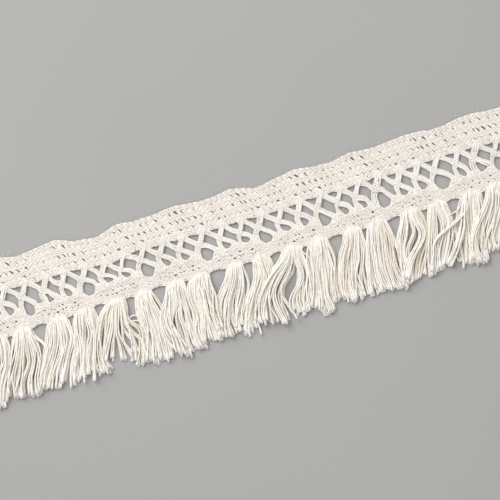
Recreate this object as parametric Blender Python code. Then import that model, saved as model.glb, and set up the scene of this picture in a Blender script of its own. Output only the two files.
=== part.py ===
"""A cut length of cotton lace trim, lying flat: a close heading, a band of openwork and a row of fringe tassels.

The trim runs along X. Its heading edge faces +Y, its fringe points towards -Y, and it rests on Z = 0. Widths
across the trim are given as depths below the mean line of the heading edge.
"""

from collections import namedtuple
import math

import bmesh
import bpy
from mathutils import Vector

MM = 0.001

# The lace band, in millimetres
REPEAT = 15.4  # one scallop of the edge, three openwork columns and two tassels
REPEATS = 10
COLUMNS = 3  # openwork columns in a repeat
THICKNESS = 1.2  # two crossing threads
END_MARGIN = 0.8  # least cloth between an opening and a cut end
FOOTING_DEPTH = 18.2  # lower edge of the band
FOOTING_RISE = 0.4  # how far that edge arches up between the pairs of tassels
KNOT_DEPTH = 8.0  # row of crossings that the openwork hangs from
KNOT_SHIFT = -1.05  # the middle crossing of a repeat, from the repeat's middle

# The fringe, in millimetres
CLEARANCE = 0.3  # between two pieces
HEAD_LONG = 2.0
HEAD_SPREAD = 0.15  # how much wider a head is at its lower end, each side
ROOT_DEPTH = 1.0  # how far the strands start inside the head
UPPER_STRANDS = 8
LOWER_STRANDS = 7
STRAND_SHARE = 0.62  # width of a strand over the pitch of its row
STRAND_HEIGHT = 0.7  # height of a strand over its width
UPPER_LAYER = 0.65  # underside of the upper row
STATIONS = (0.0, 0.3, 0.65, 1.0)  # where along a strand it has a section
END_STEP = 0.45  # how far the cut ends step in and out

# The heading edge of each repeat, in millimetres above its mean line: at the scallop's peak, in the dip after
# it and on the slow rise to the next peak. They are as uneven as hand-guided lace.
Scallop = namedtuple("Scallop", "peak dip rise")
SCALLOPS = (
    Scallop(0.30, -0.50, -0.30),
    Scallop(0.80, 0.10, 0.40),
    Scallop(1.00, -0.70, -1.20),
    Scallop(0.10, -0.10, -0.10),
    Scallop(0.40, -0.15, -0.20),
    Scallop(0.40, -0.85, -0.60),
    Scallop(0.50, -0.20, -0.40),
    Scallop(0.45, -0.15, 0.30),
    Scallop(0.60, 0.00, 0.20),
    Scallop(1.00, 0.40, 0.30),
)
SCALLOP_AT = Scallop(-5.7, -0.8, 4.0)  # where those three lie, from the repeat's middle

# The openings of the openwork, in millimetres from the crossing above their column
UPPER_GAP = ((2.1, 0.25), (3.5, 0.35), (4.85, 0.3), (4.6, -0.6), (4.1, -1.5), (3.2, -0.7))
MAIN_GAP = ((0.6, -0.4), (2.5, -1.5), (3.3, -2.8), (2.7, -4.9), (1.95, -4.6), (0.35, -2.65), (0.1, -1.5))
WIDE_GAP = ((-0.75, -3.55), (0.5, -4.2), (1.6, -5.1), (1.9, -6.0), (0.2, -7.2), (-1.2, -6.4), (-1.2, -4.7))
SLIT_GAP = ((-0.8, -3.7), (0.0, -4.2), (1.25, -5.55), (0.3, -5.7), (-0.55, -4.7))
SHORT_GAP = ((-0.5, -3.6), (0.4, -4.0), (0.9, -5.0), (0.4, -5.5), (-0.5, -4.8))
LOWER_GAPS = (SHORT_GAP, WIDE_GAP, SLIT_GAP)  # left, middle and right column of a repeat

# The tassels from left to right, in millimetres: the middle and width of the neck, the left and right side of
# the fan at its cut ends, the depth of those ends, and how far the threads belly to the right on the way.
Tassel = namedtuple("Tassel", "neck width ends_left ends_right reach belly")
TASSELS = (
    Tassel(-73.5, 4.0, -81.0, -74.6, 34.2, 0.3),
    Tassel(-65.3, 4.0, -74.3, -67.6, 34.0, 0.4),
    Tassel(-58.5, 4.0, -67.3, -58.1, 33.2, 0.5),
    Tassel(-49.4, 4.7, -57.8, -51.8, 33.5, 0.2),
    Tassel(-42.3, 4.4, -51.5, -44.3, 34.0, 0.3),
    Tassel(-33.9, 4.2, -44.0, -34.1, 33.4, 0.6),
    Tassel(-27.0, 4.0, -33.8, -24.3, 35.5, -0.3),
    Tassel(-18.7, 4.2, -24.0, -16.4, 35.2, -0.4),
    Tassel(-12.2, 4.6, -16.1, -9.6, 34.0, 0.2),
    Tassel(-3.2, 3.7, -9.3, -4.4, 34.5, 0.2),
    Tassel(3.5, 3.5, -4.1, 5.8, 33.8, -0.4),
    Tassel(11.7, 4.4, 6.1, 13.2, 33.5, -0.2),
    Tassel(18.6, 4.6, 13.5, 21.8, 35.2, 0.3),
    Tassel(27.3, 4.2, 22.1, 28.7, 34.8, 0.2),
    Tassel(34.0, 4.0, 29.0, 37.2, 35.0, 0.3),
    Tassel(42.7, 4.4, 37.5, 43.5, 33.8, 0.2),
    Tassel(49.6, 4.2, 43.8, 51.0, 33.2, 0.5),
    Tassel(58.3, 4.6, 51.3, 58.4, 34.2, 0.2),
    Tassel(64.6, 4.0, 58.7, 65.2, 33.0, 0.4),
    Tassel(73.3, 4.2, 65.5, 73.0, 34.0, 0.3),
)


def clear_scene():
    for obj in list(bpy.data.objects):
        bpy.data.objects.remove(obj, do_unlink=True)


def new_collection(name):
    collection = bpy.data.collections.new(name)
    bpy.context.scene.collection.children.link(collection)
    return collection


def cotton(name, colour, roughness):
    """Unbleached cotton: a matt Principled material."""
    material = bpy.data.materials.new(name)
    material.use_nodes = True
    shader = material.node_tree.nodes["Principled BSDF"]
    shader.inputs["Base Color"].default_value = (*colour, 1.0)
    shader.inputs["Roughness"].default_value = roughness
    shader.inputs["Metallic"].default_value = 0.0
    return material


def repeat_middles():
    """The middle of each repeat along the trim, under which the wide gap between two pairs of tassels lies."""
    return [(index - (REPEATS - 1) / 2) * REPEAT for index in range(REPEATS)]


def new_curve(name):
    curve = bpy.data.curves.new(name, "CURVE")
    curve.dimensions = "2D"
    curve.fill_mode = "BOTH"
    curve.resolution_u = 2
    return curve


def add_outline(curve, knots):
    """A closed Bezier outline through (x, y) or, for a sharp corner, (x, y, True), in millimetres."""
    spline = curve.splines.new("BEZIER")
    spline.bezier_points.add(len(knots) - 1)
    for point, (x, y, *corner) in zip(spline.bezier_points, knots):
        point.co = (x * MM, y * MM, 0.0)
        kind = "VECTOR" if corner else "AUTO"
        point.handle_left_type = kind
        point.handle_right_type = kind
    spline.use_cyclic_u = True


def band_outline():
    """The heading edge from left to right, then the footing's edge back, both between plain cut ends."""
    half = REPEAT * REPEATS / 2
    top = [
        (middle + offset, height)
        for middle, scallop in zip(repeat_middles(), SCALLOPS)
        for offset, height in zip(SCALLOP_AT, scallop)
    ]
    bottom = []
    for middle in repeat_middles():
        bottom.append((middle - REPEAT / 3, -FOOTING_DEPTH))
        bottom.append((middle, FOOTING_RISE - FOOTING_DEPTH))
        bottom.append((middle + REPEAT / 3, -FOOTING_DEPTH))
    left = [(-half, -FOOTING_DEPTH, True), (-half, SCALLOPS[0].peak / 2, True)]
    right = [(half, SCALLOPS[-1].rise, True), (half, -FOOTING_DEPTH, True)]
    return left + top + right + bottom[::-1]


def gap_outlines():
    """The openings of every column: one above the lattice's waist, one through it and one below it."""
    furthest = REPEAT * REPEATS / 2 - END_MARGIN
    for middle in repeat_middles():
        for column, lower in enumerate(LOWER_GAPS):
            knot = middle + KNOT_SHIFT + (column - 1) * REPEAT / COLUMNS
            for gap in (UPPER_GAP, MAIN_GAP, lower):
                if max(abs(knot + x) for x, _ in gap) < furthest:
                    yield [(knot + x, y - KNOT_DEPTH) for x, y in gap]


def mesh_object(curve_object, name, collection):
    """The curve's shape as a closed mesh object of that name, in place of the curve."""
    graph = bpy.context.evaluated_depsgraph_get()
    mesh = bpy.data.meshes.new_from_object(curve_object.evaluated_get(graph))
    shape = bmesh.new()
    shape.from_mesh(mesh)
    bmesh.ops.remove_doubles(shape, verts=shape.verts, dist=1e-7)
    bmesh.ops.recalc_face_normals(shape, faces=shape.faces)
    shape.to_mesh(mesh)
    shape.free()
    mesh.name = name
    made = bpy.data.objects.new(name, mesh)
    made.matrix_world = curve_object.matrix_world
    collection.objects.link(made)
    bpy.data.objects.remove(curve_object, do_unlink=True)
    return made


def flat_solid(name, outlines, thickness, collection):
    """A flat piece cut to the outlines, the first one outside and the others holes, lying on Z = 0."""
    curve = new_curve(name)
    for knots in outlines:
        add_outline(curve, knots)
    curve.extrude = thickness / 2 * MM
    flat = bpy.data.objects.new(name + "_outline", curve)
    flat.location.z = thickness / 2 * MM
    collection.objects.link(flat)
    bpy.context.view_layer.update()
    return mesh_object(flat, name, collection)


def strand_profile(name, corners, collection):
    """A closed section for a strand, one unit wide, standing on its own origin."""
    curve = bpy.data.curves.new(name, "CURVE")
    curve.dimensions = "2D"
    spline = curve.splines.new("POLY")
    spline.points.add(len(corners) - 1)
    for point, (x, y) in zip(spline.points, corners):
        point.co = (x, y, 0.0, 1.0)
    spline.use_cyclic_u = True
    profile = bpy.data.objects.new(name, curve)
    profile.hide_render = True
    collection.objects.link(profile)
    return profile


def strand_course(tassel, place, length_step):
    """(x, y, share of the fan) at each station, for a strand at this place across the tassel, 0 to 1."""
    root_x = tassel.neck + (place - 0.5) * tassel.width
    end_x = tassel.ends_left + place * (tassel.ends_right - tassel.ends_left)
    root_depth = FOOTING_DEPTH + CLEARANCE + HEAD_LONG - ROOT_DEPTH
    end_depth = tassel.reach + length_step
    for along in STATIONS:
        x = root_x + (end_x - root_x) * along + tassel.belly * math.sin(math.pi * along)
        yield x, -(root_depth + (end_depth - root_depth) * along), along


def add_strands(curve, tassel, count, first_place, base):
    """A row of strands standing side by side, as wide as their pitch lets them be."""
    for number in range(count):
        place = (number + first_place) / UPPER_STRANDS
        length_step = END_STEP * math.sin(2.4 * number + tassel.neck)
        spline = curve.splines.new("POLY")
        spline.points.add(len(STATIONS) - 1)
        for point, (x, y, along) in zip(spline.points, strand_course(tassel, place, length_step)):
            fan = tassel.width + (tassel.ends_right - tassel.ends_left - tassel.width) * along
            point.co = (x * MM, y * MM, base * MM, 1.0)
            point.radius = STRAND_SHARE * fan / UPPER_STRANDS


def strand_row(name, tassel, count, first_place, base, profile, collection):
    curve = bpy.data.curves.new(name, "CURVE")
    curve.dimensions = "3D"
    curve.twist_mode = "Z_UP"
    curve.bevel_mode = "OBJECT"
    curve.bevel_object = profile
    curve.use_fill_caps = True
    add_strands(curve, tassel, count, first_place, base)
    row = bpy.data.objects.new(name + "_course", curve)
    collection.objects.link(row)
    bpy.context.view_layer.update()
    made = mesh_object(row, name, collection)
    made.hide_render = True
    made.display_type = "WIRE"
    return made


def head_outline(tassel):
    top = -(FOOTING_DEPTH + CLEARANCE)
    side = tassel.width / 2
    lower = side + HEAD_SPREAD
    return [
        (tassel.neck - side, top, True),
        (tassel.neck + side, top, True),
        (tassel.neck + lower, top - HEAD_LONG, True),
        (tassel.neck - lower, top - HEAD_LONG, True),
    ]


def make_tassel(name, tassel, profiles, parts, operands):
    """A head with two rows of strands joined into it. The lower row lies on the floor between the upper ones."""
    head = flat_solid(name, [head_outline(tassel)], THICKNESS, parts)
    upper = strand_row(name + "_upper", tassel, UPPER_STRANDS, 0.5, UPPER_LAYER, profiles[0], operands)
    lower = strand_row(name + "_lower", tassel, LOWER_STRANDS, 1.0, 0.0, profiles[1], operands)
    for row in (lower, upper):
        union = head.modifiers.new("join " + row.name, "BOOLEAN")
        union.operation = "UNION"
        union.solver = "EXACT"
        union.object = row
    return head


def bounds_of(pieces):
    """The lowest and highest corner of all the pieces together, as the viewport shows them."""
    graph = bpy.context.evaluated_depsgraph_get()
    corners = [
        piece.matrix_world @ Vector(corner)
        for piece in pieces
        for corner in piece.evaluated_get(graph).bound_box
    ]
    low = Vector([min(corner[axis] for corner in corners) for axis in range(3)])
    high = Vector([max(corner[axis] for corner in corners) for axis in range(3)])
    return low, high


def main():
    clear_scene()
    parts = new_collection("cotton_lace_trim")
    operands = new_collection("strands_to_join")

    origin = bpy.data.objects.new("trim_origin", None)
    parts.objects.link(origin)

    heading_cotton = cotton("lace_cotton", (0.80, 0.73, 0.66), 0.9)
    fringe_cotton = cotton("fringe_cotton", (0.82, 0.76, 0.65), 0.85)

    band = flat_solid("lace_band", [band_outline(), *gap_outlines()], THICKNESS, parts)
    band.data.materials.append(heading_cotton)

    upper_section = ((-0.5, 0.0), (0.5, 0.0), (0.32, STRAND_HEIGHT), (-0.32, STRAND_HEIGHT))
    lower_section = ((-0.5, 0.0), (0.5, 0.0), (0.0, STRAND_HEIGHT))
    profiles = []
    for kind, corners in (("upper", upper_section), ("lower", lower_section)):
        scaled = [(x * MM, y * MM) for x, y in corners]
        profiles.append(strand_profile(kind + "_strand_section", scaled, operands))

    tassels = []
    for number, tassel in enumerate(TASSELS, start=1):
        made = make_tassel(f"tassel_{number:02d}", tassel, profiles, parts, operands)
        made.data.materials.append(fringe_cotton)
        tassels.append(made)

    for piece in (band, *tassels):
        piece.parent = origin
    for piece in operands.objects:
        piece.parent = origin
    bpy.context.view_layer.update()
    low, high = bounds_of([band, *tassels])
    origin.location = (-(low.x + high.x) / 2, -(low.y + high.y) / 2, -low.z)
    bpy.context.view_layer.update()


main()
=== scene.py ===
# %% [markdown]
# # A cotton lace trim, thread by thread
#
# The trim is a machine-made edging of unbleached cotton. From its upper edge down it has a close heading
# with a softly scalloped edge, a band of slanted openwork, a close footing, and tassels of loose threads.
# It lies flat and is seen from straight above.
#
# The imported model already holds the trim's shape as plain solids. The cells below build what the eye sees in
# their place. Each yarn is a tube along a path that numpy works out, because at this scale the yarns are the
# object: a flat strip with a bump map would have no gaps between them, no crossings and no loose ends.

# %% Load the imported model
from collections import namedtuple

import bmesh
import bpy
import numpy as np
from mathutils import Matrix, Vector


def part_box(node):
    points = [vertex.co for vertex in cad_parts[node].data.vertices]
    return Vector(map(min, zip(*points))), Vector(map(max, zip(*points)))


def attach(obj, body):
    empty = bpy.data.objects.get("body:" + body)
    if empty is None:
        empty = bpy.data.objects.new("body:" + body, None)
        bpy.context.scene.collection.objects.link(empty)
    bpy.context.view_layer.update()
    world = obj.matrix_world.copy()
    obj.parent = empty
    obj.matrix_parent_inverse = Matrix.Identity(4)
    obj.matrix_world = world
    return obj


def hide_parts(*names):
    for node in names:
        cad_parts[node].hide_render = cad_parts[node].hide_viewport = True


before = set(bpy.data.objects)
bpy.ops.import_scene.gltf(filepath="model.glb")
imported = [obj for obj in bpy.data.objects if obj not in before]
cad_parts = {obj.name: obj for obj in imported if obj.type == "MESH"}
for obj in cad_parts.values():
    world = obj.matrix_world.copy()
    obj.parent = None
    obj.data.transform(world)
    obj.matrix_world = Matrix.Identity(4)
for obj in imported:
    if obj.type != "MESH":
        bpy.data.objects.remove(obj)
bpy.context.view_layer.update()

print("solids in the packed model:", len(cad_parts))

# %% [markdown]
# ## Where things are
#
# Lengths are in millimetres until a mesh is made. A place on the trim is its distance along the lace from
# the middle, its depth below the mean line of the heading's edge, and its height over the table. The middle
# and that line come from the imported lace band, so that every yarn lies where the solids say.

# %% Sizes of the lace
MM = 0.001
REPEAT = 15.4  # one scallop of the edge, three openwork columns and two tassels
REPEATS = 10
LACE_HALF = REPEAT * REPEATS / 2
HIGHEST_SCALLOP = 1.0  # above the mean edge line
MIDDLES = (np.arange(REPEATS) - (REPEATS - 1) / 2) * REPEAT

band_low, band_high = (np.array(corner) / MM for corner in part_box("lace_band"))
LACE_MIDDLE = (band_low[0] + band_high[0]) / 2
EDGE_LINE = band_high[1] - HIGHEST_SCALLOP


def place(along, depth, height):
    """Points of the model's frame: x = the lace's middle + along, y = the edge line - depth, z = height."""
    along, depth, height = np.broadcast_arrays(along, depth, height)
    return np.stack([LACE_MIDDLE + along, EDGE_LINE - depth, height], axis=-1)


print("lace from", place(-LACE_HALF, 0, 0), "to", place(LACE_HALF, 0, 0))

# %% [markdown]
# ## Camera
#
# The picture is taken from straight above, with the strip rising to the right by 17 degrees and running
# past both sides. So the camera looks straight down and is turned the other way about the vertical. A long
# lens from 45 cm gives the flat look of a close product shot. The field is 125 mm wide: 0.25 mm for each
# of 500 pixels.

# %% Camera
STRIP_RISE = 17.0  # degrees
PICTURE_WIDE = 125.0
PICTURE_MIDDLE = place(along=1.6, depth=15.3, height=0.0)
CAMERA_HEIGHT = 450.0
SENSOR = 36.0

lens = bpy.data.cameras.new("camera")
lens.sensor_width = SENSOR
lens.lens = SENSOR * CAMERA_HEIGHT / PICTURE_WIDE
lens.clip_start = 0.01
camera = bpy.data.objects.new("camera", lens)
camera.location = (PICTURE_MIDDLE + (0, 0, CAMERA_HEIGHT)) * MM
camera.rotation_euler = (0.0, 0.0, -np.radians(STRIP_RISE))
bpy.context.scene.collection.objects.link(camera)
bpy.context.scene.camera = camera
print("lens:", round(lens.lens, 1), "mm")

# %% [markdown]
# ## Colours
#
# Colours are read off as sRGB hex values, the way a colour picker shows them. A shader works in linear
# light, so one function turns them.

# %% Colours to linear light
MIX_FROM, MIX_TO, MIX_RESULT = 6, 7, 2  # the mix node's colour sockets, which share their names with others


def linear(hex_colour):
    """sRGB to linear: ((c + 0.055) / 1.055)^2.4 for each channel above 0.04045, and c / 12.92 below it."""
    channels = np.array([int(hex_colour[i:i + 2], 16) for i in (1, 3, 5)]) / 255
    light = np.where(channels > 0.04045, ((channels + 0.055) / 1.055) ** 2.4, channels / 12.92)
    return (*light.tolist(), 1.0)


def add(tree, kind, settings, sockets):
    """Adds a node. Settings are its properties, sockets its inputs: each a value or an output feeding it."""
    node = tree.nodes.new(kind)
    for name, value in settings.items():
        setattr(node, name, value)
    for name, value in sockets.items():
        if isinstance(value, bpy.types.NodeSocket):
            tree.links.new(value, node.inputs[name])
        else:
            node.inputs[name].default_value = value
    return node


def new_material(name):
    """A material with an empty tree, its shader and its output, joined."""
    material = bpy.data.materials.new(name)
    material.use_nodes = True
    tree = material.node_tree
    tree.nodes.clear()
    shader = add(tree, "ShaderNodeBsdfPrincipled", {}, {})
    add(tree, "ShaderNodeOutputMaterial", {}, {"Surface": shader.outputs["BSDF"]})
    return material, tree, shader


print("warm white in linear light:", linear("#ece4d6"))

# %% [markdown]
# ## Table
#
# A plain pale board, painted matt and far larger than the picture, so that only the trim draws the eye.

# %% Table
TABLE_WIDE = 3.0  # metres


def painted_board():
    """Matt grey paint on board: no gloss, and only a breath of unevenness."""
    material, tree, shader = new_material("matt_painted_board")
    where = add(tree, "ShaderNodeTexCoord", {}, {})
    clouds = add(tree, "ShaderNodeTexNoise", {}, {
        "Vector": where.outputs["Object"], "Scale": 9.0, "Detail": 3.0,
    })
    colour = add(tree, "ShaderNodeMix", {"data_type": "RGBA"}, {
        "Factor": clouds.outputs["Fac"], MIX_FROM: linear("#a9a8a7"), MIX_TO: linear("#afaeac"),
    })
    tree.links.new(colour.outputs[MIX_RESULT], shader.inputs["Base Color"])
    shader.inputs["Roughness"].default_value = 0.9
    shader.inputs["Specular IOR Level"].default_value = 0.2
    return material


board = bpy.data.meshes.new("table")
half = TABLE_WIDE / 2
board_corners = [(-half, -half, 0), (half, -half, 0), (half, half, 0), (-half, half, 0)]
board.from_pydata(board_corners, [], [(0, 1, 2, 3)])
board.materials.append(painted_board())
table = bpy.data.objects.new("table", board)
bpy.context.scene.collection.objects.link(table)
print("table:", TABLE_WIDE, "m")

# %% [markdown]
# ## Light
#
# Soft studio light. One large lamp stands at the upper left of the picture, so that each yarn has a light
# and a shaded side, and a broad weak one fills from the right. The even grey of the room keeps the gaps
# between the yarns from going black.

# %% Light
Lamp = namedtuple("Lamp", "name right up height size watts")
LAMPS = (  # in metres from the picture's middle, along the picture's own right and up
    Lamp("key_light", -0.45, 0.40, 0.60, 0.80, 6.8),
    Lamp("fill_light", 0.60, -0.20, 0.70, 0.90, 1.3),
)
ROOM_STRENGTH = 0.49
TURN = np.radians(STRIP_RISE)
PICTURE_RIGHT = np.array([np.cos(TURN), -np.sin(TURN), 0.0])
PICTURE_UP = np.array([np.sin(TURN), np.cos(TURN), 0.0])

for lamp in LAMPS:
    light = bpy.data.lights.new(lamp.name, "AREA")
    light.shape = "DISK"
    light.size = lamp.size
    light.energy = lamp.watts
    source = bpy.data.objects.new(lamp.name, light)
    offset = PICTURE_RIGHT * lamp.right + PICTURE_UP * lamp.up + np.array([0, 0, lamp.height])
    source.location = PICTURE_MIDDLE * MM + offset
    source.rotation_euler = Vector(offset).to_track_quat("Z", "Y").to_euler()
    bpy.context.scene.collection.objects.link(source)

world = bpy.data.worlds.new("room")
world.use_nodes = True
room = world.node_tree.nodes["Background"]
room.inputs["Color"].default_value = linear("#f4f5f6")
room.inputs["Strength"].default_value = ROOM_STRENGTH
bpy.context.scene.world = world
bpy.context.scene.view_settings.view_transform = "Standard"
print("lamps:", [lamp.name for lamp in LAMPS])

# %% [markdown]
# ## Cotton
#
# The yarn is soft spun cotton of two plies. It is matt, because its fibres scatter light in all
# directions, and a thin nap of loose fibres brightens its edges a little: that is the sheen. It isn't
# bleached, so its white is warm, and each thread is a little lighter or darker than the next. The heading
# is tightly worked and looks cooler than the loose fringe, whose threads shade each other to a straw
# colour.
#
# The ply is drawn through the yarn's own map: u runs along it in millimetres and v once round it, so a
# wave of u over the twist plus two v winds round the yarn as two plies do.

# %% Cotton materials
PLIES = 2
TWIST = 1.6  # mm of yarn for each turn of its plies
FIBRE = 0.12  # mm; real fibres are 0.02 mm apart, which would be too fine to show
SHADE_PATCH = 5.0  # mm, the size of slightly darker or lighter places
PATCH_SHARE = 0.6  # how much those places count beside the thread's own tone
PLY_SHARE = 0.5  # how high the wave of the plies stands beside the fibres


def spun_cotton(name, light, dark, ply_depth, nap):
    """Two-ply cotton yarn: warm white with soft changes from thread to thread, matt, with a slight nap."""
    material, tree, shader = new_material(name)
    where = add(tree, "ShaderNodeTexCoord", {}, {})
    along = add(tree, "ShaderNodeUVMap", {"uv_map": "yarn"}, {})
    tone = add(tree, "ShaderNodeAttribute", {"attribute_name": "tone"}, {})
    patches = add(tree, "ShaderNodeTexNoise", {}, {
        "Vector": where.outputs["Object"], "Scale": 1 / (SHADE_PATCH * MM), "Detail": 2.0,
    })
    mixed = add(tree, "ShaderNodeMath", {"operation": "MULTIPLY_ADD", "use_clamp": True}, {
        0: patches.outputs["Fac"], 1: PATCH_SHARE, 2: tone.outputs["Fac"],
    })
    colour = add(tree, "ShaderNodeMix", {"data_type": "RGBA"}, {
        "Factor": mixed.outputs[0], MIX_FROM: linear(dark), MIX_TO: linear(light),
    })
    winding = add(tree, "ShaderNodeVectorMath", {"operation": "DOT_PRODUCT"}, {
        0: along.outputs["UV"], 1: (2 * np.pi / TWIST, 2 * np.pi * PLIES, 0.0),
    })
    plies = add(tree, "ShaderNodeMath", {"operation": "SINE"}, {0: winding.outputs["Value"]})
    fibres = add(tree, "ShaderNodeTexNoise", {}, {
        "Vector": where.outputs["Object"], "Scale": 1 / (FIBRE * MM), "Detail": 3.0,
    })
    relief = add(tree, "ShaderNodeMath", {"operation": "MULTIPLY_ADD"}, {
        0: plies.outputs[0], 1: PLY_SHARE, 2: fibres.outputs["Fac"],
    })
    bump = add(tree, "ShaderNodeBump", {}, {
        "Height": relief.outputs[0], "Strength": 0.6, "Distance": ply_depth * MM,
    })
    tree.links.new(colour.outputs[MIX_RESULT], shader.inputs["Base Color"])
    tree.links.new(bump.outputs["Normal"], shader.inputs["Normal"])
    shader.inputs["Roughness"].default_value = 0.88
    shader.inputs["Specular IOR Level"].default_value = 0.25
    shader.inputs["Sheen Weight"].default_value = nap
    shader.inputs["Sheen Roughness"].default_value = 0.5
    return material


LACE_YARN = spun_cotton("spun_cotton_of_the_lace", "#f5efe8", "#e6ded4", ply_depth=0.05, nap=0.25)
FRINGE_YARN = spun_cotton("spun_cotton_of_the_fringe", "#faf5ee", "#eee3d0", ply_depth=0.04, nap=0.5)
print("materials:", [material.name for material in bpy.data.materials])

# %% [markdown]
# ## A yarn from a path
#
# Every yarn is the same shape: an oval ring carried along a path. At each point of the path, one axis of
# the ring lies level across the yarn and the other stands square to it and to the path. With numpy, all
# yarns of a piece are one array of rings, and their faces are one array of corner numbers. A curve object
# with a bevel would do for a few yarns. There are over a thousand here, and the material needs to know
# where along its yarn each face is.

# %% Yarn tubes
UP = np.array([0.0, 0.0, 1.0])
TONE_SPREAD = 0.8  # how far apart the tones of two yarns can lie by chance


def yarn_rings(paths, half_width, half_height, sides):
    """Rings of points: centre + half width * cos(a) * across + half height * sin(a) * upright.

    Across is the path's direction times the vertical, and upright is across times that direction.
    """
    ahead = np.gradient(paths, axis=1)
    ahead /= np.linalg.norm(ahead, axis=2, keepdims=True)
    across = np.cross(ahead, UP)
    across /= np.linalg.norm(across, axis=2, keepdims=True)
    upright = np.cross(across, ahead)
    turn = 2 * np.pi * np.arange(sides) / sides
    wide = half_width[..., None, None] * np.cos(turn)[:, None] * across[:, :, None]
    tall = half_height[..., None, None] * np.sin(turn)[:, None] * upright[:, :, None]
    return paths[:, :, None] + wide + tall, ahead


def yarn_faces(stations, sides):
    """The corners of one yarn's faces: each one's point, its ring and its share of a turn round the yarn.

    Faces with four corners lie between two rings of `sides` points. Then faces with three corners close the
    first and the last ring, round the two points that follow the rings, at the middle of the yarn's ends.
    """
    ring, side = np.indices((stations - 1, sides)).reshape(2, -1, 1)
    rings, turns = ring + [0, 1, 1, 0], side + [0, 0, 1, 1]
    around = np.arange(sides)[:, None]
    end_rings = np.repeat([0, stations - 1], sides)[:, None] + [0, 0, 0]
    end_turns = np.concatenate([around + [0.5, 0, 1], around + [0.5, 1, 0]])
    ends = end_rings * sides + end_turns.astype(int) % sides
    ends[:, 0] = stations * sides + np.repeat([0, 1], sides)
    return (rings * sides + turns % sides, rings, turns / sides), (ends, end_rings, end_turns / sides)


def new_piece(name, points, corner_blocks, map_blocks, tone, material):
    """A mesh object at the origin from arrays of points and of faces with the same number of corners."""
    sizes = np.concatenate([np.full(len(block), block.shape[1]) for block in corner_blocks])
    corners = np.concatenate([block.ravel() for block in corner_blocks])
    mesh = bpy.data.meshes.new(name)
    mesh.vertices.add(len(points))
    mesh.loops.add(len(corners))
    mesh.polygons.add(len(sizes))
    mesh.vertices.foreach_set("co", (points * MM).ravel())
    mesh.loops.foreach_set("vertex_index", corners)
    mesh.polygons.foreach_set("loop_start", np.cumsum(sizes) - sizes)
    mesh.update(calc_edges=True)
    layer = mesh.uv_layers.new(name="yarn")
    layer.uv.foreach_set("vector", np.concatenate([block.ravel() for block in map_blocks]))
    mesh.attributes.new("tone", "FLOAT", "POINT").data.foreach_set("value", tone)
    mesh.shade_smooth()
    mesh.materials.append(material)
    piece = bpy.data.objects.new(name, mesh)
    bpy.context.scene.collection.objects.link(piece)
    return piece


Yarns = namedtuple("Yarns", "paths half_width half_height tone", defaults=(0.0,))


def yarn_piece(name, groups, material, sides=6, end_bulge=0.35, seed=0):
    """One piece from groups of Yarns. Each yarn's ends are domed by end_bulge half widths.

    The yarn's own map is the length run so far, from a random start, and the share of a turn round the yarn.
    """
    rng = np.random.default_rng(seed)
    points, tones, faces, maps = [], [], ([], []), ([], [])
    used = 0
    for group in groups:
        paths = group.paths
        count, stations = paths.shape[:2]
        half_width, half_height, tone = (np.broadcast_to(value, (count, stations)) for value in group[1:])
        rings, ahead = yarn_rings(paths, half_width, half_height, sides)
        first = paths[:, :1] - ahead[:, :1] * half_width[:, :1, None] * end_bulge
        last = paths[:, -1:] + ahead[:, -1:] * half_width[:, -1:, None] * end_bulge
        each = np.concatenate([rings.reshape(count, -1, 3), first, last], axis=1)
        points.append(each.reshape(-1, 3))
        steps = np.linalg.norm(np.diff(paths, axis=1), axis=2)
        run = np.concatenate([np.zeros((count, 1)), np.cumsum(steps, axis=1)], axis=1)
        run += rng.random((count, 1)) * TWIST
        start = used + np.arange(count)[:, None, None] * each.shape[1]
        for kind, (corners, ring, turn) in enumerate(yarn_faces(stations, sides)):
            faces[kind].append((start + corners).reshape(-1, corners.shape[1]))
            maps[kind].append(np.stack(np.broadcast_arrays(run[:, ring], turn), axis=-1))
        shade = rng.random((count, 1)) * TONE_SPREAD + tone
        on_rings = np.repeat(shade, sides, axis=1)
        tones.append(np.concatenate([on_rings, shade[:, :1], shade[:, -1:]], axis=1).ravel())
        used += count * each.shape[1]
    points, tones = np.concatenate(points), np.concatenate(tones)
    piece = new_piece(name, points, faces[0] + faces[1], maps[0] + maps[1], tones, material)
    print(name, "faces:", len(piece.data.polygons))
    return piece


# %% [markdown]
# ## Smooth lines through a few points
#
# The scalloped edge and the legs of the openwork are given by a few points each, as a lace maker pricks
# them on a card. A cubic between each pair of points, with slopes taken from their neighbours, gives the
# line a yarn would take through the pins. Whatever comes in or fades does so by a soft step, and whatever
# is strongest at one place does so by a bell.

# %% Smooth lines
def through(knots, values, at):
    """The smooth line through values at knots: cubics, whose slope at a knot comes from its neighbours."""
    values = np.asarray(values, float)
    flat = values.ndim == 1
    values = values.reshape(len(knots), -1)
    slopes = np.gradient(values, knots, axis=0)
    before = np.clip(np.searchsorted(knots, at) - 1, 0, len(knots) - 2)
    step = (knots[before + 1] - knots[before])[..., None]
    t = ((at - knots[before]) / step[..., 0])[..., None]
    line = (2 * t**3 - 3 * t**2 + 1) * values[before] + (t**3 - 2 * t**2 + t) * step * slopes[before]
    line += (3 * t**2 - 2 * t**3) * values[before + 1] + (t**3 - t**2) * step * slopes[before + 1]
    return line[..., 0] if flat else line


def course(pins, count):
    """Evenly spaced points on the smooth line through the pins."""
    pins = np.array(pins, float)
    run = np.concatenate([[0], np.cumsum(np.linalg.norm(np.diff(pins, axis=0), axis=1))])
    return through(run, pins, np.linspace(0, run[-1], count))


def soft_step(share):
    """0 below 0 and 1 above 1, with 3 s^2 - 2 s^3 between."""
    share = np.clip(share, 0, 1)
    return share * share * (3 - 2 * share)


def bell(distance, half, power=2):
    """exp(-(distance / half)^power), which is 1 at no distance. A higher power gives squarer shoulders."""
    return np.exp(-((np.abs(distance) / half) ** power))


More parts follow.
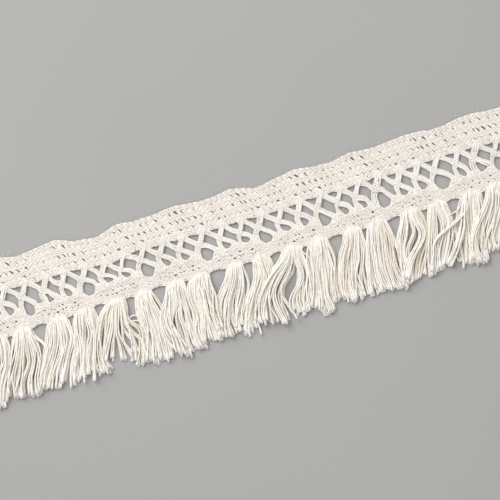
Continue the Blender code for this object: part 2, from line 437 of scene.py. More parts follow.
# The heading's edge in each repeat, in millimetres above its mean line: at the scallop's peak, in the dip
# after it and on the slow rise to the next peak.
Scallop = namedtuple("Scallop", "peak dip rise")
SCALLOPS = (
    Scallop(0.30, -0.50, -0.30),
    Scallop(0.80, 0.10, 0.40),
    Scallop(1.00, -0.70, -1.20),
    Scallop(0.10, -0.10, -0.10),
    Scallop(0.40, -0.15, -0.20),
    Scallop(0.40, -0.85, -0.60),
    Scallop(0.50, -0.20, -0.40),
    Scallop(0.45, -0.15, 0.30),
    Scallop(0.60, 0.00, 0.20),
    Scallop(1.00, 0.40, 0.30),
)
SCALLOP_AT = Scallop(-5.7, -0.8, 4.0)  # where those three lie, from the repeat's middle

SCALLOP_KNOTS = (MIDDLES[:, None] + np.array(SCALLOP_AT)).ravel()
SCALLOP_HEIGHTS = np.array(SCALLOPS).ravel()


def scallop(along):
    """Height of the heading's edge over its mean line."""
    inside = np.clip(along, SCALLOP_KNOTS[0], SCALLOP_KNOTS[-1])
    return through(SCALLOP_KNOTS, SCALLOP_HEIGHTS, inside)


print("edge from", SCALLOP_HEIGHTS.min(), "to", SCALLOP_HEIGHTS.max(), "mm")

# %% [markdown]
# ## Strain
#
# Lace that was pulled and washed is never even. The openwork drags the heading's lower edge and the
# footing up or down by parts of a millimetre, and its legs don't stand at equal distances. Two smooth
# lines through a short table give the drag, and two random ones the rest. Every yarn of the lace is placed
# through them, so they all move together and no crossing comes apart.

# %% Strain
Strain = namedtuple("Strain", "along heading footing")
STRAINS = (  # how much lower than even, in millimetres
    Strain(-77, -0.30, 0.00), Strain(-57, -0.50, 0.00), Strain(-47, -0.25, -0.25), Strain(-38, 0.25, -0.40),
    Strain(-32, 0.85, -0.45), Strain(-26.5, -0.15, -0.50), Strain(-16, 0.10, -0.35), Strain(-6, 0.20, -0.15),
    Strain(10, 0.40, 0.10), Strain(20, 0.05, 0.25), Strain(30, 0.05, 0.20), Strain(35.5, -0.35, 0.15),
    Strain(43, 0.05, 0.15), Strain(52, -0.45, 0.15), Strain(60, -0.40, 0.10), Strain(77, 0.00, 0.00),
)
EDGE_WANDER = 0.12  # how far edges stray from their lines
WANDER_STEP = 1.5  # mm between two knots of such a random line
WANDER_BEYOND = 20.0  # mm to which it goes on past the lace's ends
LEG_WANDER = 1.4  # times as far as the edges, for the legs of the openwork along the lace
LEG_RISE = 0.4  # share of that up and down
LEG_SLANT = 0.5  # mm along the lace for each mm of depth: what strays together lies aslant
HEADING_DRAG, FOOTING_DRAG = 3.0, 9.0  # depths at which each strain starts to come in
DRAG_LONG = 4.5  # mm of depth that it takes
LEGS_FROM, LEGS_TO, LEGS_FADE = 7.0, 14.0, 1.5  # the same for the random part among the legs


def uneven(along, seed):
    """A slow random line along the lace, smooth through its knots."""
    knots = np.arange(-LACE_HALF - WANDER_BEYOND, LACE_HALF + WANDER_BEYOND, WANDER_STEP)
    heights = np.random.default_rng(seed).normal(0, EDGE_WANDER, knots.size)
    return through(knots, heights, np.clip(along, knots[0], knots[-1]))


def lace_place(along, depth, height):
    """Where a point of even lace lies in the strained one.

    The heading's strain comes in from 3 to 7.5 mm of depth and gives way to the footing's from 9 to 13.5 mm.
    The random part is full between 8.5 and 12.5 mm.
    """
    along, depth, height = np.broadcast_arrays(along, depth, height)
    table = np.array(STRAINS)
    strains = through(table[:, 0], table[:, 1:], np.clip(along, table[0, 0], table[-1, 0]))
    in_heading = soft_step((depth - HEADING_DRAG) / DRAG_LONG)
    in_footing = soft_step((depth - FOOTING_DRAG) / DRAG_LONG)
    lower = strains[..., 0] * in_heading * (1 - in_footing) + strains[..., 1] * in_footing
    among_legs = LEG_WANDER * soft_step((depth - LEGS_FROM) / LEGS_FADE)
    among_legs = among_legs * soft_step((LEGS_TO - depth) / LEGS_FADE)
    aside = among_legs * uneven(along + LEG_SLANT * depth, seed=35)
    lower = lower + LEG_RISE * among_legs * uneven(along, seed=36)
    return place(along + aside, depth + lower, height)


pulls = [strain.heading for strain in STRAINS]
print("strain of the heading's lower edge:", min(pulls), "to", max(pulls))

# %% [markdown]
# ## Close cloth of the heading and the footing
#
# Both are woven: a weft goes down and up across the band and turns round the outermost warp each time, and
# the warps run along the trim. The weft leans at 60 degrees, so it shows as short slanted stitches, and
# one more yarn is laced through its turns along each edge. Over and under go by a cosine: pick n at warp k
# is high where n + k is even.
#
# One long array holds the whole weft. Its places are worked out in a leaning frame first, where each pick is
# upright, and then sheared and fitted between the real edges.

# %% Weave of the close cloth
PICK = REPEAT / 20  # from one pick of the weft to the next, along the lace
LEAN = np.tan(np.radians(60))  # mm that a pick goes down for each one that it goes along
MID = 0.5  # height of the cloth's middle
WEFT_CRIMP = 0.12  # how far the weft rises and falls
WARP_CRIMP = 0.27
HEADING_WEFT = (0.305, 0.24)  # half width and half height of the yarn
FOOTING_WEFT = (0.27, 0.25)
WARP_HALF = (0.17, 0.15)
EDGE_HALF = (0.20, 0.15)  # the yarns laced through the turns of the weft along both edges
EDGE_OUTSIDE = 0.06  # how far out they lie
EDGE_WAVE = (0.04, 0.10)  # how far they wave aside, and up and down, over the turns
EDGE_STRAY = 0.03
TURN_FLAT = 0.4  # how deep a turn of the weft is for its width
TURN_WANDER = 0.03  # how much further out or in one turn reaches than the next
TURN_LONG = 0.7  # mm of its stitch that go with it
STITCH_STRAY = 0.035  # how far a stitch strays along the lace
HEIGHT_STRAY = 0.012
UNEVEN_YARN = 0.05  # share by which one stitch is thicker or thinner than the next
STITCH_TONE = 0.3  # how much lighter or darker a stitch can be
QUARTER = np.radians([75, 45, 15])  # points on a quarter of a turn


def weft_course(first, last, tall, straight):
    """(place along, distance below the upper edge, crimp) of a weft in the leaning frame.

    Pick n stands at n picks along. Its ends bend by quarters of a flattened circle to meet the next one, and
    the crimp, +1 or -1 by turns, passes through 0 there.
    """
    picks = np.arange(first, last)[:, None]
    radius = PICK / 2
    bend = np.concatenate([QUARTER, np.zeros(straight), QUARTER[::-1]])
    ones = np.ones(QUARTER.size)
    side = np.concatenate([-ones, np.zeros(straight), ones])
    entry = TURN_FLAT * radius * (1 - np.sin(QUARTER))
    run = np.concatenate([entry, np.linspace(radius, tall - radius, straight), tall - entry[::-1]])
    along = picks * PICK + side * radius * (1 - np.cos(bend))
    down = np.where(picks % 2 == 0, run, tall - run)
    crimp = np.where(picks % 2 == 0, 1, -1) * np.cos(bend)
    return along.ravel(), down.ravel(), crimp.ravel()


def over_under(rows, down):
    """+1 at every other warp and -1 between, with a cosine from one to the next."""
    return np.cos(np.pi * np.interp(down, rows, np.arange(len(rows))))


print("picks in the lace:", round(2 * LACE_HALF / PICK))

# %% [markdown]
# ## Slits in the heading
#
# Where the warps pull the weft together, the cloth opens into slits between two picks. They come in three
# rows between the groups of warps, with a few more below, mostly under each scallop's peak, and none is
# quite like the next. A slit is made by pushing the threads on both sides away from its line, so the cloth
# stays whole and the pushed threads crowd together.

# %% Slits
Slit = namedtuple("Slit", "depth offset half_long opening")
HEADING_SLITS = (  # offset is from the repeat's middle, all in millimetres
    Slit(1.35, -6.5, 0.35, 0.10), Slit(1.35, -4.95, 0.52, 0.24), Slit(1.40, -2.85, 0.45, 0.22),
    Slit(1.50, -0.20, 0.28, 0.12), Slit(1.45, 1.80, 0.28, 0.13), Slit(1.45, 4.30, 0.28, 0.13),
    Slit(3.45, -6.80, 0.32, 0.11), Slit(3.45, -5.30, 0.40, 0.15), Slit(3.50, -3.80, 0.50, 0.20),
    Slit(3.50, -2.30, 0.50, 0.24), Slit(3.50, -0.80, 0.45, 0.19), Slit(3.45, 0.75, 0.36, 0.14),
    Slit(3.45, 2.30, 0.32, 0.11), Slit(3.45, 3.90, 0.32, 0.12), Slit(3.45, 5.60, 0.32, 0.11),
    Slit(5.45, -6.05, 0.32, 0.26), Slit(5.50, -4.40, 0.24, 0.13), Slit(5.50, -2.60, 0.28, 0.15),
    Slit(5.45, -0.50, 0.34, 0.28), Slit(5.55, 1.20, 0.22, 0.12), Slit(5.55, 2.70, 0.22, 0.11),
    Slit(5.45, 4.65, 0.32, 0.25), Slit(5.55, 6.30, 0.22, 0.10), Slit(6.60, -3.40, 0.20, 0.10),
    Slit(6.60, 1.90, 0.20, 0.10),
)
CROWDED = 0.9  # mm, how far the crowding reaches
CLUSTER_DRIFT = 0.9  # the slits of one scallop stand a little to the left or right together
CLUSTER_DEPTH = 5.0  # down to this depth
SLIT_STRAY = 0.2  # how far each slit strays along the lace on its own
OPENING_LIMITS = (0.2, 1.4)  # smallest and largest share of its kind's opening
SHARP = 0.12  # how near to a slit's line the threads are already pushed the full way


def slit_table(kinds, unevenness, seed):
    """Every slit of the trim: its line's place at its depth, its depth, half length and opening.

    A slit lies midway between two picks. Its opening is its kind's, more or less by the unevenness.
    """
    rng = np.random.default_rng(seed)
    kinds = np.array(kinds)
    depth = np.tile(kinds[:, 0], REPEATS)
    drift = rng.uniform(-CLUSTER_DRIFT, CLUSTER_DRIFT, (REPEATS, 1)) * (kinds[:, 0] < CLUSTER_DEPTH)
    at = (MIDDLES[:, None] + kinds[:, 1] + drift).ravel() + rng.normal(0, SLIT_STRAY, depth.size)
    root = np.floor((at - depth / LEAN) / PICK) * PICK + PICK / 2
    opening = np.tile(kinds[:, 3], REPEATS) * np.clip(rng.normal(1, unevenness, depth.size), *OPENING_LIMITS)
    return np.stack([root + depth / LEAN, depth, np.tile(kinds[:, 2], REPEATS), opening])


def off_slit(slits, along, depth):
    """Distance along the lace from each slit's leaning line, and how far along that line: -1 to 1 inside."""
    across = along[..., None] - slits[0] - (depth[..., None] - slits[1]) / LEAN
    return across, (depth[..., None] - slits[1]) / slits[2]


def part(slits, along, depth):
    """Threads moved off the slits.

    A thread g along the lace from a slit goes to along + opening * tanh(g / sharp) * exp(-(g / crowded)^2) *
    exp(-length^4).
    """
    across, length = off_slit(slits, along, depth)
    push = slits[3] * np.tanh(across / SHARP) * np.exp(-((across / CROWDED) ** 2) - length**4)
    return along + push.sum(axis=-1)


HEADING_OPEN = slit_table(HEADING_SLITS, unevenness=0.55, seed=3)
print("slits in the heading:", HEADING_OPEN.shape[1])

# %% [markdown]
# ## Heading
#
# The heading is 7.3 mm deep. Its weft follows the scallops at the edge, and less and less below it, down to
# 5 mm. The warps lie in groups of two to four with the rows of slits between them.

# %% Heading yarns
HEADING_TALL = 7.3
HEADING_ROWS = np.array([0.35, 0.75, 2.05, 2.45, 2.85, 4.10, 4.50, 4.90, 6.00, 6.40, 6.80, 7.20])
SCALLOP_FADES = 5.0  # depth at which the scallops no longer bend the threads
HEADING_UNEVEN = (0.7, 1.0)  # how uneven the upper and the lower edge are
HEADING_FADES = (2.0, 1.0)  # over how many millimetres that fades into the cloth


def scallop_below(along, down):
    """How far the scallops lift a thread that lies this far below the edge."""
    return scallop(along) * np.clip(1 - down / SCALLOP_FADES, 0, 1)


def heading_depth(along, down):
    """Depth of a point that lies this far below the edge: less by the scallop, and uneven at both edges."""
    upper = HEADING_UNEVEN[0] * np.clip(1 - down / HEADING_FADES[0], 0, 1)
    lower = HEADING_UNEVEN[1] * np.clip(down - HEADING_TALL + HEADING_FADES[1], 0, None)
    depth = down - scallop_below(along, down)
    return depth + upper * uneven(along, seed=31) + lower * uneven(along, seed=32)


def woven_band(name, tall, rows, top, slits, to_depth, straight, weft_half, seed):
    """The weft and the warps of a close band that starts at depth `top` and is `tall` deep before fitting.

    Straight is the number of points on the straight part of a stitch. Each stitch strays a little along the
    lace and in how far out it turns, and is a little thicker or thinner, lighter or darker than the next.
    """
    rng = np.random.default_rng(seed)
    reach = LACE_HALF + top / LEAN + 2 * PICK
    shift = (top + tall) / LEAN
    along, down, crimp = weft_course(int(-(reach + shift) // PICK), int(reach // PICK), tall, straight)
    points = straight + 2 * QUARTER.size
    stitches = along.size // points
    along = along + np.repeat(rng.normal(0, STITCH_STRAY, stitches), points) + (top + down) / LEAN
    along = part(slits, along, top + down)
    height = MID + WEFT_CRIMP * crimp * over_under(rows, down) + rng.normal(0, HEIGHT_STRAY, along.size)
    at_turns = bell(down, TURN_LONG) + bell(tall - down, TURN_LONG)
    reach_out = at_turns * np.repeat(rng.normal(0, TURN_WANDER, stitches), points)
    weft = lace_place(along, to_depth(along, down) + reach_out, height)[None]
    thick = np.repeat(1 + rng.normal(0, UNEVEN_YARN, stitches), points)[None]
    tone = np.repeat(rng.uniform(-STITCH_TONE, STITCH_TONE, stitches), points)[None]
    yarns = Yarns(weft, weft_half[0] * thick, weft_half[1] * thick, tone)
    weft_piece = yarn_piece(name + "_weft", [yarns], LACE_YARN, sides=8)

    run = np.arange(-LACE_HALF, LACE_HALF + PICK / 4, PICK / 2)
    number, at = np.meshgrid(np.arange(len(rows)), run, indexing="ij")
    down = rows[number]
    pick = (at - (top + down) / LEAN) / PICK
    height = MID - WARP_CRIMP * np.where(number % 2 == 0, 1, -1) * np.cos(np.pi * pick)
    at = np.clip(part(slits, at, top + down), -LACE_HALF, LACE_HALF)
    warps = Yarns(lace_place(at, to_depth(at, down), height), *WARP_HALF)

    edge_down, at = np.meshgrid([-EDGE_OUTSIDE, tall + EDGE_OUTSIDE], run, indexing="ij")
    wave = np.cos(np.pi * (at - (top + edge_down) / LEAN) / PICK)
    edge_down = edge_down + EDGE_WAVE[0] * wave + rng.normal(0, EDGE_STRAY, at.shape)
    edges = Yarns(lace_place(at, to_depth(at, edge_down), MID + EDGE_WAVE[1] * wave), *EDGE_HALF)
    warp_piece = yarn_piece(name + "_warps", [warps, edges], LACE_YARN, seed=seed)
    return weft_piece, warp_piece


heading = woven_band(
    "heading", HEADING_TALL, HEADING_ROWS, 0.0, HEADING_OPEN, heading_depth,
    straight=26, weft_half=HEADING_WEFT, seed=11,
)

# %% [markdown]
# ## Footing
#
# The footing is woven in the same way, 5.5 mm deep. Its upper edge dips under the three lower openings of
# each repeat, where the legs part, and its lower edge arches between the tassels, whose threads pull it
# down. The weave is squeezed between the two edges.

# %% Footing yarns
FOOTING_TOP = 12.85
FOOTING_BOTTOM = 18.4
FOOTING_TALL = FOOTING_BOTTOM - FOOTING_TOP
FOOTING_ROWS = np.array([0.40, 0.85, 1.30, 1.75, 2.55, 2.95, 3.75, 4.15, 4.60, 5.10])
Bay = namedtuple("Bay", "offset deep half")  # its place in the repeat, how deep it is, its half width
LOWER_HOLES = (Bay(-1.15, 2.25, 1.75), Bay(4.35, 0.70, 1.00), Bay(9.10, 0.70, 1.05))
ARCHES = (Bay(0.0, 0.85, 2.3), Bay(7.7, 0.30, 1.3))
BOTTOM_UNEVEN = 0.5  # how uneven the lower edge is for the upper one
FOOTING_SLITS = (
    Slit(15.00, -6.40, 0.28, 0.12), Slit(15.05, -5.15, 0.40, 0.19), Slit(15.00, 1.10, 0.26, 0.09),
    Slit(15.00, 2.30, 0.28, 0.13), Slit(15.00, 3.45, 0.30, 0.20), Slit(15.00, 4.60, 0.28, 0.12),
    Slit(15.00, 5.80, 0.26, 0.10), Slit(15.00, 6.95, 0.28, 0.15), Slit(16.20, -6.00, 0.26, 0.10),
    Slit(16.20, -4.70, 0.26, 0.09), Slit(16.20, -2.10, 0.30, 0.19), Slit(16.20, 1.40, 0.26, 0.09),
    Slit(16.20, 2.70, 0.28, 0.12), Slit(16.20, 3.90, 0.28, 0.14), Slit(16.20, 5.20, 0.34, 0.22),
    Slit(16.20, 6.40, 0.26, 0.09), Slit(16.20, 7.50, 0.28, 0.12), Slit(17.00, 6.10, 0.26, 0.12),
)


def near_middles(along, offset, half, power):
    """A bell at the same place of every repeat."""
    off = (along[..., None] - MIDDLES - offset + REPEAT / 2) % REPEAT - REPEAT / 2
    return bell(off, half, power).max(axis=-1)


def footing_top(along):
    """Depth of the upper edge: its even depth, plus a bay at each lower opening, plus a random line."""
    bays = sum(bay.deep * near_middles(along, bay.offset, bay.half, power=4) for bay in LOWER_HOLES)
    return FOOTING_TOP + bays + uneven(along, seed=33)


def footing_bottom(along):
    """Depth of the lower edge: its even depth, less an arch between two tassels, plus a random line."""
    arches = sum(bay.deep * near_middles(along, bay.offset, bay.half, power=2) for bay in ARCHES)
    return FOOTING_BOTTOM - arches + BOTTOM_UNEVEN * uneven(along, seed=34)


def footing_depth(along, down):
    """The upper edge's depth plus the same share of the way to the lower edge as in the even band."""
    share = down / FOOTING_TALL
    return footing_top(along) * (1 - share) + footing_bottom(along) * share


FOOTING_OPEN = slit_table(FOOTING_SLITS, unevenness=0.4, seed=5)
footing = woven_band(
    "footing", FOOTING_TALL, FOOTING_ROWS, FOOTING_TOP, FOOTING_OPEN, footing_depth,
    straight=24, weft_half=FOOTING_WEFT, seed=13,
)

# %% [markdown]
# ## Openwork
#
# Under the heading there are three knots to each repeat. From each knot one leg runs down steeply to the
# left, and another slants down to the right, crosses the next column's steep leg and goes on to the
# footing. No two columns of a repeat are alike: one has the big lower opening, the others small ones.
#
# A leg is four threads side by side along one smooth line through its pins. Where two legs cross, their
# threads part and pass over and under each other: the height is a cosine of the distance from the crossing
# that has the threads' spacing there as half its wave, turned round from each thread to the next. At both
# ends they fan out over the close cloth and lie flatter, which rounds the corners of the openings.

# %% Legs of the openwork
CROSSING_PIN = 3  # the fourth pin of each leg is where it crosses the other leg
STEEP_LEGS = (  # (along from the repeat's middle, depth), from the knot down
    (
        (-0.90, 6.4), (-1.15, 7.6), (-1.60, 8.75), (-2.40, 10.05),
        (-3.10, 11.1), (-3.50, 12.1), (-3.65, 13.3), (-3.80, 14.6),
    ),
    (
        (4.30, 6.4), (4.15, 7.6), (3.65, 8.8), (2.90, 10.05),
        (2.45, 11.0), (2.55, 12.0), (2.75, 13.0), (2.85, 14.4),
    ),
    (
        (9.30, 6.4), (9.05, 7.6), (8.55, 8.8), (7.80, 10.05),
        (7.45, 11.0), (7.50, 12.1), (7.65, 13.1), (7.75, 14.4),
    ),
)
SLANT_LEGS = (
    (
        (-1.40, 6.4), (0.10, 7.6), (1.50, 8.8), (2.90, 10.05),
        (4.30, 10.9), (5.50, 11.9), (6.15, 13.0), (6.35, 14.4),
    ),
    (
        (3.80, 6.4), (5.10, 7.6), (6.40, 8.8), (7.80, 10.05),
        (9.20, 10.95), (10.40, 11.95), (10.95, 13.0), (11.10, 14.5),
    ),
    (
        (8.80, 6.4), (10.10, 7.6), (11.60, 8.9), (13.00, 10.05),
        (14.60, 11.1), (15.95, 12.3), (16.70, 13.5), (16.90, 15.0),
    ),
)
LEG_THREADS = 4
LEG_SPACING = 0.32
LEG_HALF = (0.21, 0.19)
PLAIT_RISE = 0.13
PLAIT_REACH = 0.9  # how far from the crossing the threads are plaited
AT_CROSSING = 0.25  # how much wider a leg is there
CROSSING_REACH = 0.8  # mm of it that are
AT_ENDS = 0.85  # how much wider it is at both ends
ENDS_REACH = 1.3  # mm of it that are
FLATTENED = 0.4  # how much wider each thread is there
OVER = 0.13  # how much higher a leg's ends lie, on the close cloth
LEG_TURN = 0.4  # radians by which a leg's threads turn about its line
TURN_RISE = 0.6  # share of that turn that shows in their heights
LEG_STATIONS = 21  # points along a thread
PLAIT_STATIONS = 18  # and some more about the crossing
COPY_WIDE, COPY_SHIFT, COPY_DROP = 0.03, 0.10, 0.07  # how much wider, further along and lower a copy is
LEG_STRAY = 0.05  # mm by which each thread strays from its place in the leg
STRAY_KNOTS = 9  # of the random line by which it strays
LEG_UNLIKE = 0.1  # share by which it is thicker or thinner than the next


def leg(pins, hand):
    """A leg's threads as an array of (along, depth, height, half width).

    Thread k of n lies (k - (n - 1) / 2) * spacing to one side of the line, turned about it by a slow sine.
    At the crossing its height is hand * (-1)^k * rise * cos(pi * way / spacing). The leg is wider there and
    at its ends, where its threads are wider too.
    """
    steps = np.linalg.norm(np.diff(pins, axis=0), axis=1)
    met = steps[:CROSSING_PIN].sum()
    run = np.linspace(0, steps.sum(), LEG_STATIONS)
    run = np.sort(np.concatenate([run, met + np.linspace(-1, 1, PLAIT_STATIONS) * PLAIT_REACH]))
    line = through(np.concatenate([[0], np.cumsum(steps)]), pins, run)
    ahead = np.gradient(line, run, axis=0)
    ahead /= np.linalg.norm(ahead, axis=1, keepdims=True)
    aside = np.stack([-ahead[:, 1], ahead[:, 0]], axis=-1)
    way = run - met
    turned = LEG_TURN * np.sin(np.pi * way / met)
    ends = bell(run, ENDS_REACH) + bell(run[-1] - run, ENDS_REACH)
    met_spacing = LEG_SPACING * (1 + AT_CROSSING)
    plait = np.cos(np.pi * way / met_spacing) * bell(way, PLAIT_REACH, power=4)
    wider = 1 + AT_CROSSING * bell(way, CROSSING_REACH) + AT_ENDS * ends
    half = LEG_HALF[0] * (1 + FLATTENED * ends)
    threads = []
    for number in range(LEG_THREADS):
        off = (number - (LEG_THREADS - 1) / 2) * LEG_SPACING * wider
        flat = line + aside * (off * np.cos(turned))[:, None]
        height = MID + off * np.sin(turned) * TURN_RISE
        height = height + hand * (-1) ** number * PLAIT_RISE * plait + OVER * ends
        threads.append(np.column_stack([flat, height, half]))
    return np.array(threads)


def every_repeat(points, seed):
    """The leg in every repeat and one beyond each end.

    Each copy is moved a little and widened or narrowed. Each of its threads strays from its place by a
    random line, and is a little thicker or thinner than the next.
    """
    rng = np.random.default_rng(seed)
    middles = np.concatenate([[MIDDLES[0] - REPEAT], MIDDLES, [MIDDLES[-1] + REPEAT]])[:, None, None]
    wide = rng.normal(1, COPY_WIDE, middles.shape)
    shift = rng.normal(0, COPY_SHIFT, middles.shape)
    knot = points[..., 0, 0].mean()
    along = middles + shift + knot + (points[None, ..., 0] - knot) * wide
    depth = points[None, ..., 1] + rng.normal(0, COPY_DROP, middles.shape)
    knots = np.linspace(0, 1, STRAY_KNOTS)
    stray = rng.normal(0, LEG_STRAY, (knots.size, middles.size * len(points)))
    along = along + through(knots, stray, np.linspace(0, 1, points.shape[1])).T.reshape(along.shape)
    height = np.broadcast_to(points[None, ..., 2], along.shape)
    half = points[None, ..., 3] * rng.normal(1, LEG_UNLIKE, (*along.shape[:2], 1))
    return np.stack([along, depth, height, half], axis=-1)


LEGS = []
hands = [1] * len(STEEP_LEGS) + [-1] * len(SLANT_LEGS)
for number, (hand, pins) in enumerate(zip(hands, STEEP_LEGS + SLANT_LEGS)):
    LEGS.append(every_repeat(leg(np.array(pins), hand), seed=21 + number))
yarns = []
for threads in LEGS:
    along, depth, height, half = np.moveaxis(threads.reshape(-1, *threads.shape[2:]), -1, 0)
    yarns.append(Yarns(lace_place(along, depth, height), half, LEG_HALF[1]))
legs = yarn_piece("openwork_threads", yarns, LACE_YARN, seed=23)

# %% [markdown]
# ## Cut ends of the lace
#
# The trim is a length cut from a longer one. So the weft and the legs are made a little too long and then
# cut off square at both ends, as scissors do, and each cut yarn gets a flat face.

# %% Cut the lace square
def cut_square(piece):
    """Cuts the piece at both ends of the lace and closes every cut yarn."""
    shape = bmesh.new()
    shape.from_mesh(piece.data)
    for side in (-1, 1):
        middle = place(side * LACE_HALF, 0.0, 0.0) * MM
        everything = shape.verts[:] + shape.edges[:] + shape.faces[:]
        cut = bmesh.ops.bisect_plane(
            shape, geom=everything, dist=1e-8, plane_co=middle, plane_no=(side, 0, 0), clear_outer=True,
        )
        rims = [item for item in cut["geom_cut"] if isinstance(item, bmesh.types.BMEdge)]
        bmesh.ops.holes_fill(shape, edges=rims, sides=0)
    shape.to_mesh(piece.data)
    shape.free()
    print(piece.name, "cut to", len(piece.data.polygons), "faces")


for piece in (heading[0], footing[0], legs):
    cut_square(piece)

# %% [markdown]
# ## Ground of the cloth
#
# Between the yarns lies a ground of felted fibres, which stops the light between two stitches but leaves
# the slits and openings clear. It is coloured darker than the yarns, as painted shade in the gaps between
# them. It is also the cloth as a whole: one thin sheet with the outline of the lace. It is made as a fine
# grid, from which the squares that lie in an opening are left out.

# %% Ground sheet
CELL = 0.34
GROUND_THICK = 0.08
GROUND_INSET = 0.45  # how far it stays inside the turns of the weft
GROUND_TOP = -1.2  # depth at which its grid starts, above every scallop
# darker than the yarns: painted shade in the gaps between the stitches
PAINTED_GROUND_SHADE = 0.1
LEG_OVERLAP = 1.0  # how far its part along the legs reaches into the close cloth
LEG_COVER = 0.45  # half width of the ground along a leg
CROSSING_COVER = 0.65  # how far it goes from a crossing
CROSSING_DEPTH = 10.05
CROSSING_NEAR = 0.15  # what lies so close to that depth counts as the crossing
LEG_REACH = 7.0  # mm along the lace from a leg's middle, which no ground of the leg goes beyond
LEG_STEP = 3  # every third point of a leg is close enough to the next to measure from
SLIT_MARGIN = 0.14
SLIT_OPEN = 0.06  # slits that open less than this stay closed in the ground


def near_legs(along, depth):
    """Where a leg's middle is closer than LEG_COVER, or that of a crossing closer than CROSSING_COVER."""
    near = np.zeros(along.shape, bool)
    for line in np.concatenate([threads.mean(axis=1) for threads in LEGS]):
        close = np.abs(along - line[:, 0].mean()) < LEG_REACH
        at, down = line[::LEG_STEP, :2].T
        off = np.hypot(along[close][:, None] - at, depth[close][:, None] - down)
        cover = np.where(np.abs(down - CROSSING_DEPTH) < CROSSING_NEAR, CROSSING_COVER, LEG_COVER)
        near[close] |= (off < cover).any(axis=1)
    return near


def in_slit(slits, along, depth):
    """Where a slit is open: closer to its line than its opening and a margin, and not past its ends."""
    across, length = off_slit(slits, along, depth)
    open_here = (np.abs(across) < slits[3] + SLIT_MARGIN) & (np.abs(length) < 1) & (slits[3] > SLIT_OPEN)
    return open_here.any(axis=-1)


def ground_cells():
    """Corner numbers of the squares kept, on a grid of the lace's whole length and depth, and its points."""
    along = np.arange(-LACE_HALF, LACE_HALF + CELL / 2, CELL)
    depth = np.arange(GROUND_TOP, FOOTING_BOTTOM + CELL, CELL)
    row, column = np.meshgrid(np.arange(len(depth) - 1), np.arange(len(along) - 1), indexing="ij")
    x = along[column] + CELL / 2
    d = depth[row] + CELL / 2
    in_heading = (d > GROUND_INSET - scallop(x)) & (d < HEADING_TALL - GROUND_INSET)
    in_heading &= ~in_slit(HEADING_OPEN, x, d + scallop_below(x, d))
    in_footing = (d > footing_top(x) + GROUND_INSET) & (d < footing_bottom(x) - GROUND_INSET)
    share = (d - footing_top(x)) / (footing_bottom(x) - footing_top(x))
    in_footing &= ~in_slit(FOOTING_OPEN, x, FOOTING_TOP + share * FOOTING_TALL)
    between = (d > HEADING_TALL - LEG_OVERLAP) & (d < FOOTING_TOP + LEG_OVERLAP)
    on_legs = np.zeros(x.shape, bool)
    on_legs[between] = near_legs(x[between], d[between])
    kept = in_heading | in_footing | on_legs
    corner = row * len(along) + column
    cells = np.stack([corner, corner + len(along), corner + len(along) + 1, corner + 1], axis=-1)[kept]
    grid_along, grid_depth = np.meshgrid(along, depth)
    return cells, lace_place(grid_along.ravel(), grid_depth.ravel(), MID)


cells, grid = ground_cells()
used, cells = np.unique(cells, return_inverse=True)
cells = cells.reshape(-1, 4)
ground_points = grid[used]
ground_map = ground_points[cells][..., :2]
# the ground's low tone is painted shade between the yarns
tones = np.full(len(used), PAINTED_GROUND_SHADE)
ground = new_piece("lace_ground", ground_points, [cells], [ground_map], tones, LACE_YARN)
thicken = ground.modifiers.new("thin felt", "SOLIDIFY")
thicken.thickness = GROUND_THICK * MM
thicken.offset = 0.0

# %% [markdown]
# ## Fringe
#
# Each tassel is some fifty cut threads that leave the footing in one bundle, lean to the left and fan out.
# They draw together into locks, which cross over each other and lie in a loose heap a few threads deep. No
# two tassels fall alike, so each lock has its own row: how many threads show on top, where its middle lies
# along the lace at the depths of 20, 23, 26 and 30 mm and at its end, how far down it reaches, and how far
# its ends spread.

